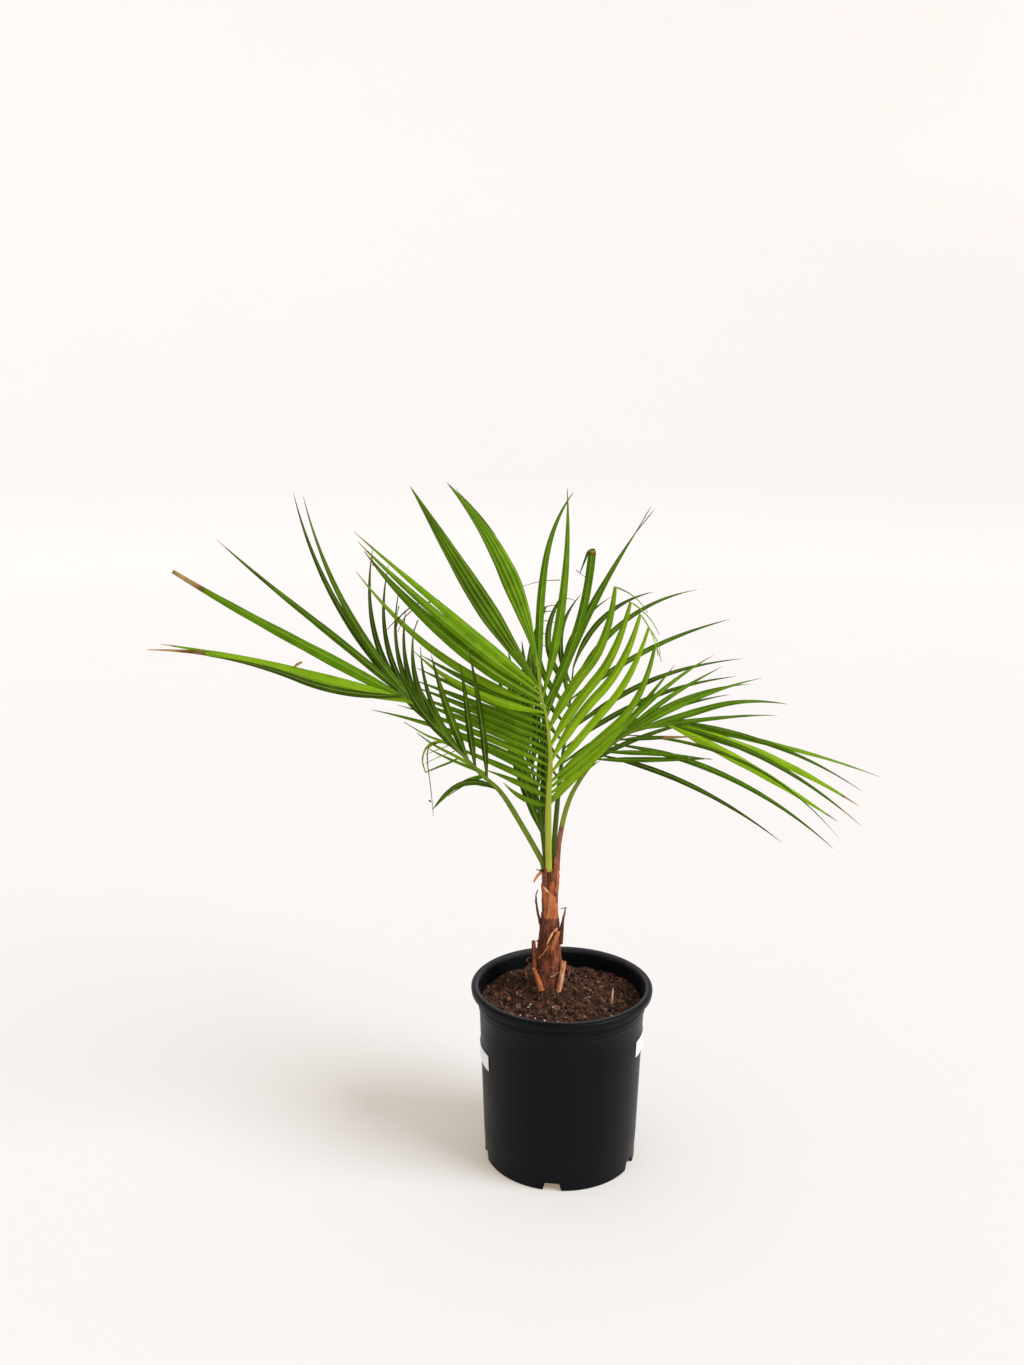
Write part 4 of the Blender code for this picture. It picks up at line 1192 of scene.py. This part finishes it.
def stalk(shell, line, radii, face, tint, dry_to=0.0):
    """A stalk with a round back and a shallow groove along its face."""
    along = shares(line)
    sizes = [(0.0, radii[0]), (0.5, radii[1]), (1.0, radii[2])]
    rings = []
    for i, centre in enumerate(line):
        ahead = heading(line, i)
        side = face.cross(ahead).normalized()
        up = ahead.cross(side)
        r = blend(along[i], sizes, 1) * blend(along[i], STALK_TAPER, 1)
        ring = []
        for k in range(STALK_SIDES):
            angle = math.tau * k / STALK_SIDES
            front = max(0.0, math.sin(angle))
            lift = math.sin(angle) * (1 - 0.30 * front ** 3)
            place = centre + side * r * math.cos(angle) + up * r * lift
            dry = smooth((dry_to - along[i]) / 0.05 + 0.5) if dry_to else 0.0
            shade = tint + 0.10 * math.cos(angle) - 0.10 * (1 - front) - 0.22 * along[i]
            ring.append(shell.point(place, (math.cos(angle) * r, along[i], shade), (0, dry, 0)))
        rings.append(ring)
    shell.loft(rings)


FROND_PAINTED_LIGHT = {"frond_left": -0.07, "frond_right": 0.06}    # added to a frond's tints: painted shade on the left frond, painted light on the right
STALK_LOOKS = {                # tint, with painted shade and light in it, and share of the stalk that is brown
    "frond_front": (0.86, 0.0), "frond_left": (0.50, 0.0), "frond_right": (0.60, 0.20),
    "frond_back": (0.30, 0.05), "frond_young": (0.26, 0.0),
}


def make_frond(name, leaf, stem):
    spec = FRONDS[name]
    rng = random.Random(name)
    own = random.Random(name + " detail")
    foot = Vector((*spec["route"][0][:2], STEM_TOP_Z + GAP))
    line = smooth_route([foot, foot + Vector((0, 0, 6))] + spec["route"][1:], 12)
    along = shares(line)
    face = Vector(spec["face"]).normalized()
    part = name.replace("frond_", "")
    shell = Shell(part + "_leaflets")
    for count, keys, looks in spec["rows"]:
        looks = dict(looks, shift=FROND_PAINTED_LIGHT.get(name, 0.0))
        for i in range(count):
            step = i / (count - 1) if count > 1 else 0.0
            share = keys[0][0] + step * (keys[-1][0] - keys[0][0])
            key = [blend(share, keys, column) for column in range(1, 7)]
            play = 1 if count > 1 else 0
            leaflet(shell, line_point(line, along, share), face, key, play, rng, own, looks)
    shell.make(leaf, [name], 26)
    rib = Shell(part + "_stalk")
    tint, dry_to = STALK_LOOKS[name]
    fine = smooth_route([foot - Vector((0, 0, 2)), foot + Vector((0, 0, 6))] + spec["route"][1:], 4)
    stalk(rib, fine, spec["radii"], face, tint, dry_to)
    rib.make(stem, [name], 50)


# Thin leaflets, folded ends and dry threads beside the fronds, as (places in the photograph,
# first and last depth, widths, tint, dryness).
LOOSE_FRONT = [
    ([(404, 722), (425, 734.5), (441, 741), (456, 748)], 16, 0, (0.6, 1.4, 2.4, 2.6), 0.74, 0),
    ([(417, 733), (434, 745), (458, 757.5), (484, 773)], 16, -2, (0.8, 2.2, 3.0, 2.6), 0.72, 0),
    ([(429, 749), (446, 757.5), (465, 765.5), (486, 774)], 15, -2, (0.8, 2.2, 3.0, 2.4), 0.64, 0),
    ([(443, 742), (432, 743), (425, 750), (422.5, 761), (425.5, 772.5)], 12, 10, (2.4, 2, 1.6, 1.4, 1.0),
     0.98, 0.2),
    ([(425.5, 772.5), (437, 767.5), (452, 761.5), (460, 757)], 10, 4, (0.8, 1.8, 2.0, 1.6), 0.40, 0),
    ([(438, 742.5), (428.5, 748), (427.5, 762), (430, 782), (432.3, 803), (433.3, 816)], 11, 8,
     (1.6, 1.2, 1.0, 0.8, 0.7, 0.5), 0.98, 0.3),
    ([(426, 754.5), (438, 749.5), (450, 745)], 9, 4, (0.5, 0.8, 0.8), 0.80, 0),
    ([(425, 763.5), (440, 756.5), (455, 751)], 9, 4, (0.5, 0.8, 0.8), 0.76, 0),
    ([(484, 775), (468, 780), (455, 788), (443, 799), (432.5, 809.5)], -4, 6, (2.6, 3.0, 2.4, 1.6, 0.8),
     0.52, 0),
    ([(484, 776.5), (465, 784.5), (448, 796)], -6, 3, (2.0, 1.8, 0.6), 0.34, 0),
    ([(595, 549.5), (589, 551), (585, 560), (580, 573)], -16, -18, (1.8, 2.2, 1.6, 0.6), 0.10, 0),
    ([(560, 580), (543, 581), (523, 586)], -18, -22, (0.8, 0.6, 0.4), 0.60, 0.3),
    ([(576, 570), (585, 577)], -18, -18, (0.7, 0.5), 0.4, 0.5),
]
LOOSE_DARK = [
    ([(440, 601), (432, 602), (420, 603), (410, 608), (400, 617), (396, 630), (397, 645)], -44, -36,
     (1.2, 1.2, 1.2, 1.0, 1.0, 0.8, 0.5), 0.06, 0.35),
    ([(414, 609), (410, 612), (403, 620), (398, 632)], -42, -38, (0.8, 0.9, 0.7, 0.5), 0.06, 0.4),
    ([(412, 606), (405, 612), (394, 622), (385, 632)], -42, -36, (0.9, 0.9, 0.8, 0.5), 0.10, 0.2),
    ([(399, 606), (397, 615)], -40, -38, (0.9, 0.5), 0.1, 0.3),
    ([(418, 620), (416, 625), (413, 635)], -40, -38, (1.0, 0.9, 0.5), 0.1, 0.2),
    ([(373, 566), (372.6, 561), (372, 555.5)], -20, -20, (1.0, 0.7, 0.4), 0.2, 0.8),
    ([(302, 662), (297, 664.5), (293, 668)], -78, -80, (1.8, 2.4, 1.0), 0.1, 1.0),
]
SPECK_AT = (430, 801)          # a dark bud husk that hangs on a thread


def make_loose(name, entries, material):
    shell = Shell(name)
    for i, (spots, start, end, widths, tint, dry) in enumerate(entries):
        strip(shell, photo_route(spots, start, end), widths, tint, (0.1, -1, 0.3), 0.25, 0.15, i, dry)
    return shell.make(material, (), 40)


def make_speck(material):
    shell = Shell("dry_speck")
    rng = random.Random("speck")
    lump(shell, in_photo(*SPECK_AT, 8), (1.5, 0.7, 0.8), Matrix.Rotation(0.6, 3, "Y"), rng, 0.0, 0.2, 2)
    return shell.make(material, (), 50)


# Stage

STAGE_FLAT = 4200              # radius of the flat floor, then of the curve that turns up
STAGE_CURVE = 1700
STAGE_H = 2700
STAGE_SIDES = 72
STAGE_GLOW = 0.26              # the white floor is a little overexposed, as in the photograph
STAGE_KEY = 1.0                # the key's share of its light, with the sky's as 1
STAGE_WALL = 0.925             # the wall's white over the floor's
STAGE_TURN = 0.85              # where the floor counts as wall, by its normal's height
STAGE_TOP = 1.45               # the most that its colour is raised


def make_stage():
    """A pale round floor that curves up into a wall on every side."""
    shell = Shell("backdrop")
    line = [(0.0, 0.0), (STAGE_FLAT * 0.3, 0.0), (STAGE_FLAT, 0.0)]
    for i in range(1, 17):
        angle = math.pi / 2 * i / 16
        line.append((STAGE_FLAT + STAGE_CURVE * math.sin(angle), STAGE_CURVE * (1 - math.cos(angle))))
    line.append((STAGE_FLAT + STAGE_CURVE, STAGE_H))
    rings = []
    for r, z in line[1:]:
        rings.append([shell.point((r * math.cos(math.tau * k / STAGE_SIDES),
                                   r * math.sin(math.tau * k / STAGE_SIDES), z))
                      for k in range(STAGE_SIDES)])
    shell.faces.append(tuple(rings[0]))
    for a, b in zip(rings, rings[1:]):
        for k in range(STAGE_SIDES):
            n = (k + 1) % STAGE_SIDES
            shell.faces.append((a[k], b[k], b[n], a[n]))
    mesh = bpy.data.meshes.new("backdrop")
    mesh.from_pydata(shell.points, [], shell.faces)
    mesh.shade_smooth()
    mesh.materials.append(stage_material())
    floor = bpy.data.objects.new("backdrop", mesh)
    floor.visible_shadow = False
    bpy.context.scene.collection.objects.link(floor)


def stage_material():
    """Warm white paper, darker where it faces the key, so that every side is the same white."""
    made, tree, shader = new_material("backdrop", roughness=0.9, specular=0.05)
    facing = node(tree, "VectorMath", {"operation": "DOT_PRODUCT"})
    tree.links.new(node(tree, "NewGeometry").outputs["Normal"], facing.inputs[0])
    facing.inputs[1].default_value = KEY_FROM
    lit = maths(tree, "MAXIMUM", facing.outputs["Value"], 0.0)
    total = maths(tree, "MULTIPLY_ADD", lit, STAGE_KEY)
    total.node.inputs[2].default_value = 1.0
    level = maths(tree, "DIVIDE", 1 + STAGE_KEY * KEY_FROM[2], total)
    upright = node(tree, "SeparateXYZ", None, Vector=node(tree, "NewGeometry").outputs["Normal"])
    level = maths(tree, "MULTIPLY", level, spread(tree, upright.outputs["Z"], STAGE_TURN, 1, STAGE_WALL, 1))
    grain = speckle(tree, places(tree), 3, 2)
    paper = ramp(tree, grain, [(0.3, (0.601, 0.615, 0.665)), (0.7, (0.605, 0.619, 0.669))])
    scaled = node(tree, "VectorMath", {"operation": "SCALE"})
    tree.links.new(paper, scaled.inputs[0])
    tree.links.new(maths(tree, "MINIMUM", level, STAGE_TOP), scaled.inputs["Scale"])
    tree.links.new(scaled.outputs[0], shader.inputs["Base Color"])
    shader.inputs["Emission Color"].default_value = (1.0, 0.80, 0.49, 1.0)
    shader.inputs["Emission Strength"].default_value = STAGE_GLOW
    return made


KEY_FROM = (0.752, -0.342, 0.563)   # towards the key light: the right front, 34 degrees up
KEY_ANGLE = 38.0
KEY_STRENGTH = 2.9
SKY_STRENGTH = 0.62


def make_light():
    """One broad key, whose shadow falls to the left and back, in an even white room."""
    key = bpy.data.lights.new("key", "SUN")
    key.energy = KEY_STRENGTH
    key.angle = math.radians(KEY_ANGLE)
    key.color = (0.985, 1.0, 1.03)
    made = bpy.data.objects.new("key", key)
    made.rotation_mode = "QUATERNION"
    made.rotation_quaternion = (-Vector(KEY_FROM)).to_track_quat("-Z", "Y")
    bpy.context.scene.collection.objects.link(made)
    world = bpy.data.worlds.new("studio")
    world.use_nodes = True
    world.node_tree.nodes["Background"].inputs["Color"].default_value = (1.0, 0.985, 0.965, 1)
    world.node_tree.nodes["Background"].inputs["Strength"].default_value = SKY_STRENGTH
    bpy.context.scene.world = world


def make_camera():
    camera = bpy.data.cameras.new("camera")
    camera.sensor_width = SENSOR
    camera.lens = FOCAL_PX / PHOTO_H * SENSOR
    camera.clip_start, camera.clip_end = 0.05, 30
    seen = bpy.data.objects.new("camera", camera)
    aim = Matrix.Rotation(math.radians(90 - CAMERA_PITCH), 4, "X")
    roll = Matrix.Rotation(math.radians(CAMERA_ROLL), 4, "Z")
    seen.matrix_world = Matrix.Translation(CAMERA_AT) @ aim @ roll
    bpy.context.scene.collection.objects.link(seen)
    bpy.context.scene.camera = seen


def dress_labels():
    paper = pale_material("sticker", (0.76, 0.76, 0.75), (0.86, 0.86, 0.85), 500, 0.00003)
    for name in ("label_left", "label_right"):
        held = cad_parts[name]
        held.data.materials.clear()
        held.data.materials.append(paper)


def main():
    make_camera()
    make_stage()
    make_light()
    bpy.context.scene.view_settings.view_transform = "Standard"
    peat = soil_material()
    sheath = bark_material()
    make_pot(pot_material())
    make_soil(peat)
    make_crumbs(peat)
    make_bark_bits(sheath)
    make_peat_fibres(peat)
    make_perlite(pale_material("perlite", (0.55, 0.54, 0.50), (0.85, 0.84, 0.80), 900, 0.0003))
    make_twig(sheath)
    make_stem(sheath)
    make_stem_fibres(sheath)
    make_stem_extras(sheath)
    leaf = leaf_material()
    stem = stalk_material()
    for name in FRONDS:
        make_frond(name, leaf, stem)
    make_loose("loose_pale_tips", LOOSE_FRONT, leaf)
    make_loose("loose_dark_tips", LOOSE_DARK, leaf)
    make_speck(sheath)
    dress_labels()


main()
